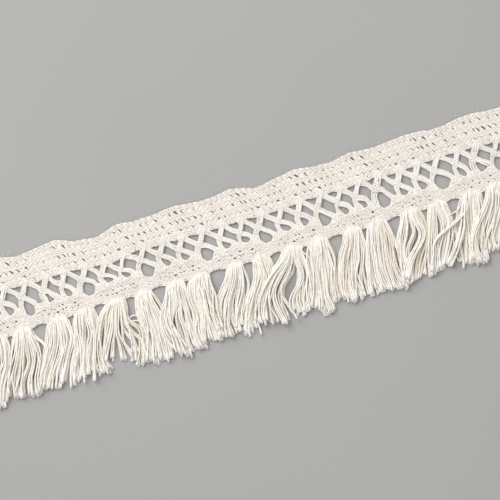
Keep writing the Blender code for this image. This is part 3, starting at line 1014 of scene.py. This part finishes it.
# %% Locks of the fringe
Lock = namedtuple("Lock", "threads at_20 at_23 at_26 at_30 end reach spread over", defaults=(0,))
Tassel = namedtuple("Tassel", "neck width locks")
TASSELS = (  # a row of each inner table is one Lock, from the left; over is 1 where it lies on the others
    Tassel(-73.5, 4.0, (
        (6, -75.0, -76.0, -77.4, -79.6, -80.6, 33.8, 1.8), (6, -74.2, -75.0, -76.2, -78.2, -79.2, 34.1, 1.7),
        (6, -73.3, -73.9, -75.0, -76.9, -77.8, 34.3, 1.6), (5, -72.4, -72.8, -73.8, -75.6, -76.5, 33.8, 1.4),
        (4, -71.6, -71.9, -72.7, -74.5, -75.3, 33.6, 1.2),
    )),
    Tassel(-65.3, 4.0, (
        (5, -67.0, -68.2, -70.0, -72.6, -74.0, 34.2, 1.4), (5, -66.2, -67.2, -68.8, -71.2, -72.6, 34.0, 1.4),
        (5, -65.4, -66.2, -67.6, -69.9, -71.2, 34.4, 1.4), (5, -64.6, -65.1, -66.4, -68.7, -69.9, 33.9, 1.2),
        (4, -63.8, -64.1, -65.3, -67.7, -68.6, 34.7, 1.0), (3, -63.2, -63.5, -64.7, -67.0, -68.3, 33.6, 0.7),
    )),
    Tassel(-58.6, 4.0, (
        (2, -61.7, -63.0, -64.2, -66.0, -66.3, 32.4, 0.5), (5, -60.9, -62.0, -63.3, -65.3, -65.9, 32.5, 1.0),
        (5, -60.0, -61.0, -62.4, -64.4, -64.8, 33.3, 1.3), (5, -59.2, -59.9, -61.2, -63.2, -63.8, 33.5, 1.2),
        (4, -58.5, -58.7, -59.2, -61.9, -62.9, 33.3, 0.9), (5, -57.5, -57.5, -57.8, -60.4, -61.4, 33.8, 1.2),
        (4, -56.8, -56.3, -56.5, -59.2, -60.3, 34.2, 0.9), (2, -56.4, -54.1, -54.9, -57.5, -58.9, 34.3, 0.4),
    )),
    Tassel(-49.5, 4.6, (
        (5, -52.4, -53.7, -55.1, -57.4, -59.0, 34.0, 1.4), (5, -51.4, -52.4, -54.0, -56.4, -57.9, 33.4, 1.4),
        (5, -50.3, -51.2, -52.7, -55.3, -56.8, 33.0, 1.3), (5, -49.2, -50.0, -51.4, -54.0, -55.2, 33.8, 1.5),
        (5, -48.2, -48.7, -50.1, -52.6, -53.9, 33.9, 1.2), (4, -47.1, -47.2, -48.4, -50.9, -52.6, 33.4, 0.8),
    )),
    Tassel(-42.25, 4.4, (
        (5, -45.3, -46.3, -46.9, -48.8, -50.0, 34.4, 1.3), (5, -44.5, -45.3, -46.0, -47.8, -48.6, 33.8, 1.4),
        (5, -43.6, -44.2, -44.9, -46.7, -47.3, 33.3, 1.3), (4, -42.5, -42.3, -43.8, -45.7, -46.2, 33.0, 1.0),
        (4, -41.6, -41.5, -42.9, -44.8, -45.3, 32.0, 0.9),
        (2, -41.0, -41.3, -42.2, -43.3, -44.9, 35.1, 0.4, 1),
        (4, -40.3, -40.8, -42.0, -43.7, -43.9, 33.0, 0.8),
    )),
    Tassel(-34.0, 4.2, (
        (4, -38.9, -40.5, -41.9, -43.1, -42.9, 34.0, 0.9), (4, -38.0, -39.6, -41.0, -42.2, -41.9, 33.9, 0.8),
        (4, -37.0, -38.5, -39.9, -41.2, -41.3, 33.5, 0.8), (4, -36.0, -37.4, -38.9, -40.4, -40.3, 33.3, 1.0),
        (3, -35.2, -36.3, -37.4, -38.6, -38.8, 31.2, 1.0), (4, -34.6, -35.4, -36.4, -36.2, -36.3, 32.4, 1.3),
        (2, -33.7, -34.5, -34.9, -34.6, -34.5, 31.6, 0.6), (2, -33.2, -34.0, -33.9, -32.8, -32.6, 31.5, 0.5),
        (3, -32.9, -33.6, -33.0, -32.4, -33.9, 33.3, 0.8), (2, -32.6, -33.3, -32.3, -30.7, -30.1, 34.5, 0.5),
        (4, -32.3, -33.2, -30.5, -30.9, -32.7, 34.9, 1.6),
    )),
    Tassel(-27.0, 4.0, (
        (5, -29.1, -29.5, -29.3, -29.8, -31.2, 34.0, 1.2), (5, -28.4, -28.6, -28.6, -29.0, -30.2, 34.8, 1.3),
        (4, -27.7, -27.9, -27.9, -28.0, -28.7, 35.8, 0.8), (4, -27.0, -27.2, -27.1, -27.1, -27.5, 34.9, 1.0),
        (3, -26.5, -26.6, -26.5, -26.4, -26.6, 35.3, 0.7), (4, -25.9, -25.7, -25.5, -25.5, -25.7, 35.3, 0.9),
        (3, -25.4, -25.0, -24.7, -24.8, -25.0, 35.2, 0.7), (2, -24.4, -23.6, -23.9, -24.1, -24.3, 34.8, 0.5),
    )),
    Tassel(-18.65, 4.4, (
        (4, -21.5, -23.2, -24.5, -24.0, -23.2, 33.6, 1.0, 1),
        (4, -21.0, -22.3, -23.8, -23.3, -22.7, 34.3, 1.0, 1),
        (4, -20.3, -21.2, -23.2, -22.6, -22.2, 35.2, 0.9, 1),
        (3, -19.8, -20.2, -22.0, -21.9, -21.6, 35.3, 0.6, 1),
        (3, -19.4, -19.6, -20.9, -21.2, -20.6, 36.3, 0.6), (4, -18.9, -19.2, -19.9, -20.0, -19.2, 35.4, 1.2),
        (4, -18.2, -18.2, -18.2, -18.6, -18.3, 35.0, 1.0), (3, -17.4, -17.5, -17.7, -17.8, -17.5, 34.8, 0.7),
        (3, -16.8, -16.6, -16.2, -16.8, -16.9, 35.0, 0.7),
    )),
    Tassel(-12.1, 4.6, (
        (4, -15.7, -16.0, -15.9, -16.8, -17.0, 34.9, 1.0), (4, -14.9, -15.2, -15.0, -15.7, -16.3, 35.3, 0.8),
        (4, -14.2, -14.6, -14.4, -14.8, -15.6, 34.0, 0.8), (5, -13.4, -13.7, -13.5, -13.6, -13.6, 34.1, 1.2),
        (5, -12.5, -12.8, -12.8, -12.8, -12.7, 34.3, 1.2), (4, -11.6, -12.0, -11.9, -11.6, -11.4, 33.9, 0.8),
        (2, -10.9, -11.5, -11.6, -11.1, -10.9, 33.7, 0.4), (2, -10.0, -10.0, -10.4, -10.6, -10.5, 32.0, 0.4),
    )),
    Tassel(-3.15, 3.8, (
        (4, -5.7, -8.2, -10.4, -11.3, -11.0, 33.8, 0.8), (4, -5.2, -7.2, -9.4, -10.3, -10.0, 32.4, 1.0),
        (5, -4.6, -6.3, -8.5, -9.4, -9.1, 34.1, 1.2), (4, -3.8, -5.4, -7.4, -8.6, -8.4, 34.1, 0.9),
        (4, -3.1, -4.3, -6.3, -7.8, -7.5, 33.6, 1.0), (3, -2.5, -3.4, -4.9, -6.4, -6.5, 34.0, 0.6),
        (3, -1.9, -2.5, -3.8, -5.5, -6.1, 32.8, 0.6), (2, -1.3, -1.2, -2.4, -5.0, -5.6, 32.6, 0.4),
    )),
    Tassel(3.5, 3.6, (
        (2, 1.3, 0.6, -1.6, -4.0, -5.8, 34.7, 0.4), (5, 1.9, 1.3, -0.9, -3.3, -4.9, 35.6, 1.6),
        (5, 2.6, 2.2, 0.2, -2.2, -3.4, 34.2, 1.2), (4, 3.3, 3.1, 1.2, -1.0, -2.3, 33.3, 1.1),
        (4, 4.0, 3.9, 2.1, 0.0, -1.2, 33.1, 1.1), (4, 4.8, 4.7, 3.1, 1.0, 0.2, 33.0, 1.1),
        (3, 5.6, 5.6, 4.1, 2.0, 1.3, 33.6, 0.6),
    )),
    Tassel(11.9, 4.2, (
        (4, 8.4, 3.7, 1.4, 0.3, -0.4, 33.1, 0.8, 1), (5, 9.2, 4.9, 2.6, 1.2, 0.6, 33.2, 1.0, 1),
        (5, 9.9, 6.6, 4.0, 3.0, 2.9, 34.2, 1.2, 1), (5, 10.4, 8.0, 5.0, 4.2, 4.3, 35.2, 0.9, 1),
        (5, 11.0, 9.4, 6.3, 5.2, 5.3, 34.3, 0.8, 1), (2, 11.4, 11.1, 7.3, 6.5, 7.2, 32.9, 0.4),
        (4, 11.6, 11.7, 10.9, 8.0, 8.4, 32.6, 0.8), (4, 12.1, 12.2, 11.5, 9.2, 9.2, 33.7, 0.9),
        (4, 12.5, 12.6, 12.2, 10.5, 10.4, 34.3, 1.0), (3, 13.1, 13.4, 13.2, 12.0, 11.3, 33.5, 0.8),
        (2, 13.9, 14.2, 14.0, 13.2, 12.4, 33.6, 0.5),
    )),
    Tassel(18.6, 4.5, (
        (3, 15.6, 14.4, 14.0, 12.5, 10.2, 34.4, 0.6), (4, 16.1, 15.0, 14.5, 13.6, 11.9, 33.3, 0.9),
        (3, 16.7, 15.7, 15.2, 14.4, 12.9, 34.1, 0.5), (3, 17.3, 16.4, 15.8, 15.0, 13.8, 34.6, 0.4),
        (3, 17.8, 17.1, 16.5, 15.6, 14.9, 36.5, 0.5), (3, 18.4, 17.7, 17.1, 16.2, 15.8, 36.0, 0.4),
        (4, 19.0, 18.3, 17.7, 16.9, 17.0, 36.0, 1.0), (4, 19.6, 19.2, 18.6, 17.7, 17.7, 35.4, 0.9),
        (3, 20.2, 20.1, 19.6, 18.6, 18.4, 34.0, 0.8), (3, 20.8, 21.3, 20.5, 19.3, 19.2, 33.4, 0.8),
    )),
    Tassel(27.3, 4.3, (
        (4, 24.9, 22.6, 21.6, 20.2, 19.4, 33.6, 1.0), (4, 25.5, 23.5, 22.2, 21.0, 20.6, 34.0, 1.1),
        (5, 26.1, 24.4, 23.0, 22.0, 22.0, 35.0, 1.2), (4, 26.8, 25.5, 24.0, 22.9, 22.7, 34.9, 0.8),
        (4, 27.4, 26.5, 25.0, 23.6, 23.5, 34.3, 0.8), (4, 28.0, 27.3, 26.1, 24.6, 24.4, 33.8, 0.9),
        (3, 28.6, 28.1, 27.5, 26.0, 25.5, 34.5, 0.8), (3, 29.4, 29.6, 28.9, 27.5, 26.6, 34.4, 0.7),
    )),
    Tassel(34.0, 4.0, (
        (3, 31.1, 30.0, 29.5, 28.4, 28.1, 33.5, 0.8), (4, 31.7, 30.7, 30.1, 29.2, 29.5, 34.9, 1.0),
        (4, 32.3, 31.5, 30.9, 30.1, 30.3, 34.3, 0.9), (4, 32.9, 32.2, 31.6, 30.9, 31.4, 34.5, 1.0),
        (4, 33.5, 32.9, 32.4, 31.9, 32.4, 34.9, 0.9), (4, 34.2, 34.0, 33.5, 32.9, 33.2, 35.2, 0.8),
        (3, 34.9, 34.8, 34.3, 33.9, 34.2, 35.4, 0.7), (3, 35.4, 35.5, 35.2, 34.8, 35.3, 35.5, 0.6),
        (3, 36.0, 36.4, 36.1, 35.5, 35.9, 35.8, 0.5), (2, 36.4, 37.1, 36.9, 36.3, 36.7, 35.2, 0.4),
    )),
    Tassel(42.65, 4.6, (
        (3, 39.8, 37.9, 37.2, 36.8, 37.0, 34.7, 0.6), (4, 40.4, 38.9, 37.9, 37.4, 37.6, 34.7, 0.8),
        (3, 41.2, 40.2, 38.4, 37.9, 38.1, 34.5, 0.6), (4, 42.1, 42.1, 39.5, 38.2, 38.0, 33.7, 0.9),
        (5, 43.0, 43.7, 42.3, 38.8, 37.9, 33.0, 1.0, 1), (5, 43.9, 44.6, 43.9, 40.7, 38.7, 34.4, 1.2),
        (4, 45.1, 45.1, 44.6, 42.8, 40.5, 33.8, 1.0),
    )),
    Tassel(49.6, 4.1, (
        (4, 46.9, 46.0, 45.2, 43.9, 42.8, 34.3, 0.9), (4, 47.6, 46.7, 45.9, 44.7, 43.7, 34.4, 0.9),
        (4, 48.3, 47.6, 46.7, 45.5, 44.7, 33.9, 0.9), (4, 49.3, 49.2, 48.5, 46.4, 45.2, 33.9, 1.0),
        (4, 50.3, 50.3, 49.6, 47.5, 46.0, 33.6, 0.9), (4, 51.1, 51.2, 50.6, 48.6, 47.0, 33.2, 0.7),
        (2, 51.9, 52.1, 52.1, 52.0, 51.1, 34.9, 0.3),
    )),
    Tassel(58.5, 5.0, (
        (3, 57.2, 54.3, 46.6, 44.8, 44.0, 33.6, 0.5, 1), (2, 54.5, 53.2, 52.2, 52.1, 52.0, 33.4, 0.3),
        (4, 55.9, 54.6, 53.7, 50.6, 48.0, 33.2, 1.0, 1), (4, 56.5, 55.2, 54.3, 53.0, 52.6, 33.8, 1.0),
        (3, 57.1, 55.9, 55.0, 53.7, 53.9, 34.7, 0.7), (3, 57.8, 56.9, 56.0, 54.6, 54.6, 34.2, 0.8),
        (3, 58.4, 57.7, 56.9, 55.6, 55.3, 35.1, 0.6), (4, 59.1, 58.5, 57.5, 56.3, 56.5, 35.2, 0.8),
        (3, 59.8, 59.2, 58.2, 57.1, 57.0, 34.4, 0.6), (3, 60.5, 60.0, 58.8, 57.8, 57.6, 35.3, 0.5),
    )),
    Tassel(64.9, 4.5, (
        (3, 62.0, 59.6, 57.1, 55.0, 54.6, 33.9, 0.8, 1), (3, 62.6, 60.8, 58.2, 56.2, 55.6, 34.6, 0.8, 1),
        (4, 63.3, 62.0, 59.6, 57.2, 56.6, 34.0, 1.0), (4, 64.1, 63.1, 61.0, 58.7, 58.6, 33.0, 1.0),
        (4, 64.9, 64.1, 62.2, 60.0, 59.5, 32.7, 1.0), (4, 65.6, 65.0, 63.3, 61.0, 60.3, 31.9, 0.9),
        (4, 66.3, 65.9, 64.6, 62.6, 61.6, 33.0, 1.0), (3, 66.9, 66.7, 65.6, 63.8, 63.0, 33.8, 0.8),
    )),
    Tassel(73.3, 4.2, (
        (6, 71.5, 70.4, 68.8, 66.5, 65.5, 33.8, 1.8), (6, 72.4, 71.5, 70.0, 67.8, 66.9, 34.1, 1.7),
        (6, 73.3, 72.6, 71.3, 69.3, 68.4, 34.3, 1.6), (5, 74.2, 73.8, 72.6, 70.8, 70.0, 33.8, 1.4),
        (4, 75.0, 74.8, 73.8, 72.2, 71.5, 33.6, 1.2),
    )),
)
print("tassels:", len(TASSELS), "locks:", sum(len(tassel.locks) for tassel in TASSELS))

# %% [markdown]
# ## From a lock to its threads
#
# A lock is as wide as the threads that show on top of it: they are packed closely in the neck and have
# more room further down, and some more lie under them. The whole lock swings a little to both sides of its
# line, and its threads draw closest two thirds of the way down. Each thread keeps its place in the lock
# but for a slow drift, which makes neighbours cross, and a sway. A few wander off and lie across the next
# lock.

# %% Wanted courses
ROOT = 15.8  # depth at which the threads start, inside the footing
NECK = 18.0  # depth at which they start to lean
LEVEL = 0.6  # mm between two levels
LEVELS = ROOT + LEVEL * np.arange(37)  # depths, down to the longest thread's end
NECK_DRAWN = 0.75  # how narrow the threads are drawn together at their roots
NECK_LEANS = 0.25  # share of the way to its place at 20 mm that a lock has gone at the neck
ROOM_AT = np.array([20.0, 23.0, 26.0, 30.0])  # depths
ROOM = np.array([0.22, 0.25, 0.27, 0.29])  # mm of a lock's width for each thread counted from above
UNSEEN = 0.60  # threads of a lock that lie under the others, for each one counted from above
THREAD_HALF = 0.205
GOES_ON = 3.0  # mm by which a lock's line goes on past its end
LAST_WAY = 1.05  # share of the way from the neck to its end up to which a lock still changes
CLUMPED = 0.24  # how much closer a lock's threads lie two thirds of the way down
CLUMP_POWER = 1.5  # moves that place from the middle to two thirds
LOCK_SWINGS = ((0.46, 1.7), (0.46 / 3, 4))  # mm by which a whole lock swings aside, and half waves
THREAD_SWAYS = ((0.25, 2), (0.15, 5), (0.05, 11))  # the same for each thread
PHASES = 6.0  # radians, nearly a turn, from which the start of a wave is drawn
START_DRIFT, END_DRIFT = 0.12, 0.30  # widths of the lock by which a thread drifts off its place
WANDERERS = 0.14  # share of the threads that leave their lock and lie across the next
WANDER = 1.3  # how far they go, in widths of the lock
LAYERS = 2.2  # layers in a lock
LOCK_LAYERS = 2.5  # layers by which one lock can lie over the next
LIFTED = 2.0  # layers by which a lock that lies over the others starts higher, and a wanderer
LAYER_RISE = 1.7  # half thicknesses from one layer to the next
CUT_STRAY, CUT_LIMIT = 0.38, 0.9  # mm by which a thread is cut longer or shorter, and at most
LOCK_TONE = 0.14


def thread_count(lock):
    """The threads that show on top of a lock and those under them."""
    return round(lock.threads * (1 + UNSEEN))


def lock_courses(tassel, lock, left, count, rng):
    """Places along the lace and first heights at each level, depths of ends and tones, of a lock's threads.

    Left is the number of threads of this tassel to the left of the lock. The lock's width is its threads
    times their room, times hypot(1, slope), so that a slanting lock is no thinner than a hanging one.
    """
    off = tassel.width * ((left + lock.threads / 2) / count - 0.5)
    neck = tassel.neck + off
    going_on = lock.end + GOES_ON * (lock.end - lock.at_30) / (lock.reach - ROOM_AT[-1])
    knots = np.array([ROOT, NECK, *ROOM_AT, lock.reach, lock.reach + GOES_ON])
    leaning = neck + NECK_LEANS * (lock.at_20 - neck)
    line = through(knots, [tassel.neck + NECK_DRAWN * off, leaning, *lock[1:6], going_on], LEVELS)
    in_neck = tassel.width / count
    room = np.interp(LEVELS, knots[:-1], [NECK_DRAWN * in_neck, in_neck, *ROOM, lock.spread / lock.threads])
    way = np.clip((LEVELS - NECK) / (lock.reach - NECK), 0, LAST_WAY)
    clumped = 1 - CLUMPED * np.sin(np.pi * np.clip(way, 0, 1) ** CLUMP_POWER) ** 2
    wide = lock.threads * room * clumped * np.hypot(1, np.gradient(line, LEVEL))
    swings = sum(
        rng.normal(0, far) * np.sin(waves * np.pi * way + rng.uniform(0, PHASES))
        for far, waves in LOCK_SWINGS
    )
    line = line + way**0.5 * swings

    threads = thread_count(lock)
    share = (np.arange(threads) + 0.5) / threads - 0.5
    start = share + rng.normal(0, START_DRIFT, threads)
    strays_off = rng.random(threads) < WANDERERS
    finish = share + rng.normal(0, END_DRIFT, threads) + strays_off * rng.normal(0, WANDER, threads)
    share = start[:, None] * (1 - way) + finish[:, None] * way
    phases = rng.uniform(0, PHASES, (len(THREAD_SWAYS), threads, 1))
    sway = sum(
        rng.normal(0, far, (threads, 1)) * np.sin(waves * np.pi * way + phase)
        for (far, waves), phase in zip(THREAD_SWAYS, phases)
    )
    layer = rng.uniform(0, LOCK_LAYERS) + rng.uniform(0, LAYERS, (threads, 1)) + LIFTED * lock.over
    layer += LIFTED * strays_off[:, None]
    height = THREAD_HALF * (1 + LAYER_RISE * layer) + 0 * LEVELS
    ends = lock.reach + np.clip(rng.normal(0, CUT_STRAY, threads), -CUT_LIMIT, CUT_LIMIT)
    shade = np.full(threads, rng.normal(0, LOCK_TONE))
    return line + share * wide + sway * way**0.5, height, ends, shade


rng = np.random.default_rng(41)
courses = []
COUNTS = []
for tassel in TASSELS:
    locks = [Lock(*row) for row in tassel.locks]
    count = sum(lock.threads for lock in locks)
    left = 0
    for lock in locks:
        courses.append(lock_courses(tassel, lock, left, count, rng))
        left += lock.threads
    COUNTS.append(sum(thread_count(lock) for lock in locks))
wanted, first_height, reach, lock_shade = (np.concatenate(column) for column in zip(*courses))
print("fringe threads:", len(reach), "down to", round(reach.max(), 1), "mm")

# %% [markdown]
# ## Settling
#
# All threads are settled together, as they would fall on a table: at every level down the fringe, threads
# that overlap push each other apart, gravity draws them down on to the table or on to each other, and each
# thread stays smooth along its length. It is the same sum for all the threads at once.

# %% Settle the fringe
ROUNDS = 90
NEIGHBOURS = 18  # a thread is compared with fewer than this on each side
PUSHED = 0.8  # share of a push that is carried out in each round
SMOOTH_ALONG, SMOOTH_HEIGHT = 0.35, 0.30  # share of a bend that is taken out
HELD = 0.10  # share of the way back to its wanted course that a thread goes
FALL = 0.010  # mm that it sinks
ROOT_HELD, ROOT_LONG = 0.5, 2.0  # how much more it is held at its root, and over how many millimetres
ROOT_THIN, THICKENS, THICK_AT = 0.85, 0.15, 4.0  # its thickness there, what is added, and how far down
OVER_EDGE, UNDER_EDGE = 0.80, 0.30  # heights of the threads that come out over the cloth's edge and under it
OVER_SHARE = 0.6  # share of those over it
EDGE_AT, EDGE_LONG = 17.2, 0.9  # depth of that edge, and how far from it they still feel it
EDGE_PULL = 0.5  # share of the way to those heights that they go


def push_apart(along, height, half, here, upright):
    """How far neighbours that overlap move apart, half each, along the line between their middles.

    Threads are sorted by place at each level and compared with the next few only. Distances along the lace
    are shortened by each thread's lean, because a leaning thread is wider across.
    """
    order = np.argsort(along, axis=0)
    x, z, r, on, u = (np.take_along_axis(a, order, axis=0) for a in (along, height, half, here, upright))
    move_x = np.zeros_like(x)
    move_z = np.zeros_like(z)
    for step in range(1, NEIGHBOURS):
        dx = (x[step:] - x[:-step]) * (u[step:] + u[:-step]) / 2
        dz = z[step:] - z[:-step]
        apart = np.hypot(dx, dz) + 1e-6
        overlap = np.clip(r[step:] + r[:-step] - apart, 0, None) * on[step:] * on[:-step] / 2
        move_x[step:] += overlap * dx / apart
        move_x[:-step] -= overlap * dx / apart
        move_z[step:] += overlap * dz / apart
        move_z[:-step] -= overlap * dz / apart
    out_x = np.empty_like(x)
    out_z = np.empty_like(z)
    np.put_along_axis(out_x, order, move_x, axis=0)
    np.put_along_axis(out_z, order, move_z, axis=0)
    return out_x, out_z


def smooth(line, share):
    """Each inner point moved by this share towards the middle of its two neighbours."""
    line[:, 1:-1] += share * ((line[:, :-2] + line[:, 2:]) / 2 - line[:, 1:-1])


def settle(wanted, height, reach, rng):
    """Threads pushed apart, let fall, smoothed and drawn back to their wanted courses, over and over."""
    along = wanted.copy()
    height = height.copy()
    down = (LEVELS - ROOT)[None] + 0 * wanted
    half = THREAD_HALF * (ROOT_THIN + THICKENS * np.clip(down / THICK_AT, 0, 1))
    here = (LEVELS[None] < reach[:, None] + LEVEL).astype(float)
    held = HELD + ROOT_HELD * bell(down, ROOT_LONG)
    at_edge = EDGE_PULL * bell(LEVELS - EDGE_AT, EDGE_LONG)
    edge_height = np.where(rng.random((len(reach), 1)) < OVER_SHARE, OVER_EDGE, UNDER_EDGE)
    for _ in range(ROUNDS):
        upright = 1 / np.hypot(1, np.gradient(along, LEVEL, axis=1))
        move_x, move_z = push_apart(along, height, half, here, upright)
        along += PUSHED * move_x
        height += PUSHED * move_z - FALL
        along += held * (wanted - along)
        height += at_edge * (edge_height - height)
        smooth(along, SMOOTH_ALONG)
        smooth(height, SMOOTH_HEIGHT)
        height = np.maximum(height, half)
    return along, height, half


settled, heights, halves = settle(wanted, first_height, reach, rng)
print("heap:", round(float(heights.max() + THREAD_HALF), 2), "mm high")

# %% [markdown]
# ## The threads themselves
#
# Each settled course is cut at its own length, and the thread is carried along it. It starts inside the
# cloth, a little higher or lower than the next, and comes out of it in a millimetre or so. Its cut end has
# come untwisted, so it is half as thick again there. Both ends are painted lighter: a painted highlight
# where the root catches the light on the footing's edge, and painted light at the tip, where the loosened
# fibres scatter it.

# %% Fringe threads
THREAD_STATIONS = 25
ROOT_POWER = 1.1  # draws the stations a little closer together at the root
INSIDE = 0.48  # height of a thread's start
STARTS = (16.4, 17.0)  # depths between which the threads in the neck's middle start
CROWN = 1.0  # how much lower those at its sides start
COMES_OUT = 1.2  # mm that it takes to come out of the cloth
BLOOM, BLOOM_LONG = 0.6, 1.0  # how much thicker the untwisted end is, and over how many millimetres
OVAL = 0.95  # height of a thread for its width
# painted highlights: how much lighter the root and the tip are painted
PAINTED_ROOT_LIGHT, PAINTED_ROOT_LIGHT_AT, PAINTED_TIP_LIGHT = 0.15, 17.5, 0.70  # how much lighter the root is, where, and the tip
PAINTED_LIGHT_LONG = 1.6  # mm over which that fades
STRAY_HALF, STRAY_STATIONS, STRAY_TONE = 0.9 * THREAD_HALF, 24, 0.3  # of the single threads


def along_levels(values, level):
    """Values between two levels, by straight shares of the one above and the one below."""
    lower = np.clip(level.astype(int), 0, values.shape[1] - 2)
    share = level - lower
    above = np.take_along_axis(values, lower, axis=1)
    below = np.take_along_axis(values, lower + 1, axis=1)
    return above * (1 - share) + below * share


def tassel_piece(number, tassel, threads, seed):
    """One tassel's threads as a piece that stands for its solid."""
    rng = np.random.default_rng(seed)
    ends = reach[threads][:, None]
    off = 2 * (settled[threads, :1] - tassel.neck) / (NECK_DRAWN * tassel.width)
    start = rng.uniform(*STARTS, ends.shape) + CROWN * np.minimum(off**2, 1)
    depth = start + (ends - start) * np.linspace(0, 1, THREAD_STATIONS) ** ROOT_POWER
    level = (depth - ROOT) / LEVEL
    out = soft_step((depth - start) / COMES_OUT)
    height = INSIDE + (along_levels(heights[threads], level) - INSIDE) * out
    half = along_levels(halves[threads], level)
    bloom = 1 + BLOOM * bell(ends - depth, BLOOM_LONG)
    # painted highlights at the root and at the tip, over the lock's own tone
    tone = PAINTED_ROOT_LIGHT * bell(depth - PAINTED_ROOT_LIGHT_AT, PAINTED_LIGHT_LONG) + PAINTED_TIP_LIGHT * bell(ends - depth, PAINTED_LIGHT_LONG)
    tone += lock_shade[threads][:, None]
    path = place(along_levels(settled[threads], level), depth, height)
    yarns = Yarns(path, half * bloom, half * OVAL, tone)
    name = f"tassel_{number:02d}"
    piece = yarn_piece(name + "_threads", [yarns], FRINGE_YARN, end_bulge=0.15, seed=seed)
    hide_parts(name)
    return piece


STRAYS = (  # single threads that cross between the tassels, each by its pins: (along, depth, height)
    ((-33.4, 23.6, 1.2), (-32.4, 22.9, 0.9), (-31.3, 22.4, 0.7), (-30.6, 22.5, 0.6), (-29.9, 23.2, 0.5)),
    ((-33.0, 24.0, 1.2), (-32.2, 23.6, 0.9), (-31.0, 23.8, 0.6), (-29.8, 24.3, 0.4)),
    ((56.2, 19.2, 1.0), (54.9, 20.2, 0.9), (53.8, 21.1, 0.7), (52.5, 21.3, 0.8), (51.3, 21.7, 1.1)),
    ((13.7, 19.2, 1.0), (14.4, 20.1, 0.8), (15.1, 21.3, 0.9), (15.5, 22.4, 0.9)),
)
strays = []
for pins in STRAYS:
    path = place(*course(pins, STRAY_STATIONS).T)[None]
    strays.append(Yarns(path, STRAY_HALF, STRAY_HALF, STRAY_TONE))
stray_threads = yarn_piece("stray_threads", strays, FRINGE_YARN, end_bulge=0.3, seed=59)

tassels = []
first = 0
for number, (tassel, count) in enumerate(zip(TASSELS, COUNTS), 1):
    tassels.append(tassel_piece(number, tassel, slice(first, first + count), seed=60 + number))
    first += count

# %% [markdown]
# ## Loose fibres
#
# Cotton is never clean at its edges: short fibres stand off the heading and out of the cut ends. Each is a
# thin three-sided tube that leaves its root straight and then curls. They are far finer than the yarns, so
# they only soften the outline.

# %% Loose fibres
FIBRE_HALF = 0.022
FIBRE_END = 0.4  # how thin its free end is for its root
FIBRE_STATIONS = 4
FIBRE_INSIDE = 0.15  # how far inside the yarn it starts
FIBRE_SHAPE = 3.0  # of the gamma distribution of lengths: few are very short or very long
FIBRE_FLAT = 0.35  # how much it bends up or down for how much it bends aside
# A fibre points straight out of the lace but for its lean aside and its rise, each with a mean and a spread.
# Size and longest are lengths in millimetres, and curl is how far it bends for its length.
Fuzz = namedtuple("Fuzz", "lean lean_spread rise rise_spread size longest curl")
EDGE_FUZZ = Fuzz(0.2, 0.6, 0.0, 0.25, 0.22, 1.6, 0.5)
END_FUZZ = Fuzz(-0.1, 0.7, -0.1, 0.2, 0.10, np.inf, 0.4)
EDGE_FIBRES = 1800
EDGE_HEIGHTS = (0.2, 0.85)
END_FIBRES = 5  # to each thread
END_SPREAD = 0.12  # mm about the thread's middle
END_LOWEST = 0.05
END_WIDE = 1.4  # how much thicker they are than those at the edge
# the fibres at the cut ends are painted lighter, like the painted light at the threads' tips
PAINTED_END_LIGHT = 0.5


def fibres(roots, outward, fuzz, rng):
    """Paths from each root that bend aside: root + aim * length * t + bend * length * t^2, t up to 1."""
    lean = rng.normal(fuzz.lean, fuzz.lean_spread, len(roots))
    rise = rng.normal(fuzz.rise, fuzz.rise_spread, len(roots))
    aim = np.stack([np.sin(lean), outward * np.cos(lean), rise], axis=-1)[:, None]
    long = np.minimum(rng.gamma(FIBRE_SHAPE, fuzz.size, len(roots)), fuzz.longest)[:, None, None]
    bend = rng.normal(0, 1, (len(roots), 1, 3)) * np.array([1, 1, FIBRE_FLAT]) * fuzz.curl
    t = np.linspace(0, 1, FIBRE_STATIONS)[None, :, None]
    path = roots[:, None] + aim * long * t + bend * long * t**2
    path[..., 2] = np.maximum(path[..., 2], FIBRE_HALF)
    return path


def edge_fibres(rng):
    """Fibres off the heading's edge, at any height of the cloth."""
    along = rng.uniform(-LACE_HALF, LACE_HALF, EDGE_FIBRES)
    roots = place(along, FIBRE_INSIDE - scallop(along), rng.uniform(*EDGE_HEIGHTS, EDGE_FIBRES))
    return fibres(roots, 1, EDGE_FUZZ, rng)


def end_fibres(rng):
    """Fibres out of the fringe's cut ends, along the thread and a little aside."""
    level = ((reach - ROOT) / LEVEL)[:, None]
    at_end = [along_levels(values, level)[:, 0] for values in (settled, heights)] + [reach]
    along, height, depth = (np.repeat(values, END_FIBRES) for values in at_end)
    aside, up = rng.normal(0, END_SPREAD, (2, along.size))
    roots = place(along + aside, depth - FIBRE_INSIDE, np.maximum(height + up, END_LOWEST))
    return fibres(roots, -1, END_FUZZ, rng)


rng = np.random.default_rng(71)
taper = FIBRE_HALF * np.linspace(1, FIBRE_END, FIBRE_STATIONS)[None]
on_edge = Yarns(edge_fibres(rng), taper, taper)
on_ends = Yarns(end_fibres(rng), END_WIDE * taper, END_WIDE * taper, PAINTED_END_LIGHT)
hairs = yarn_piece("loose_fibres", [on_edge, on_ends], FRINGE_YARN, sides=3, end_bulge=0.5, seed=72)

# %% [markdown]
# ## Hand over
#
# The lace's pieces stand for the imported band and the threads for the tassels. All of them are attached to
# one body.

# %% Hand over
lace_pieces = [ground, *heading, *footing, legs]
for piece in lace_pieces:
    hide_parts("lace_band")
loose_pieces = [*tassels, stray_threads, hairs]
for piece in (*lace_pieces, *loose_pieces):
    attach(piece, "root")
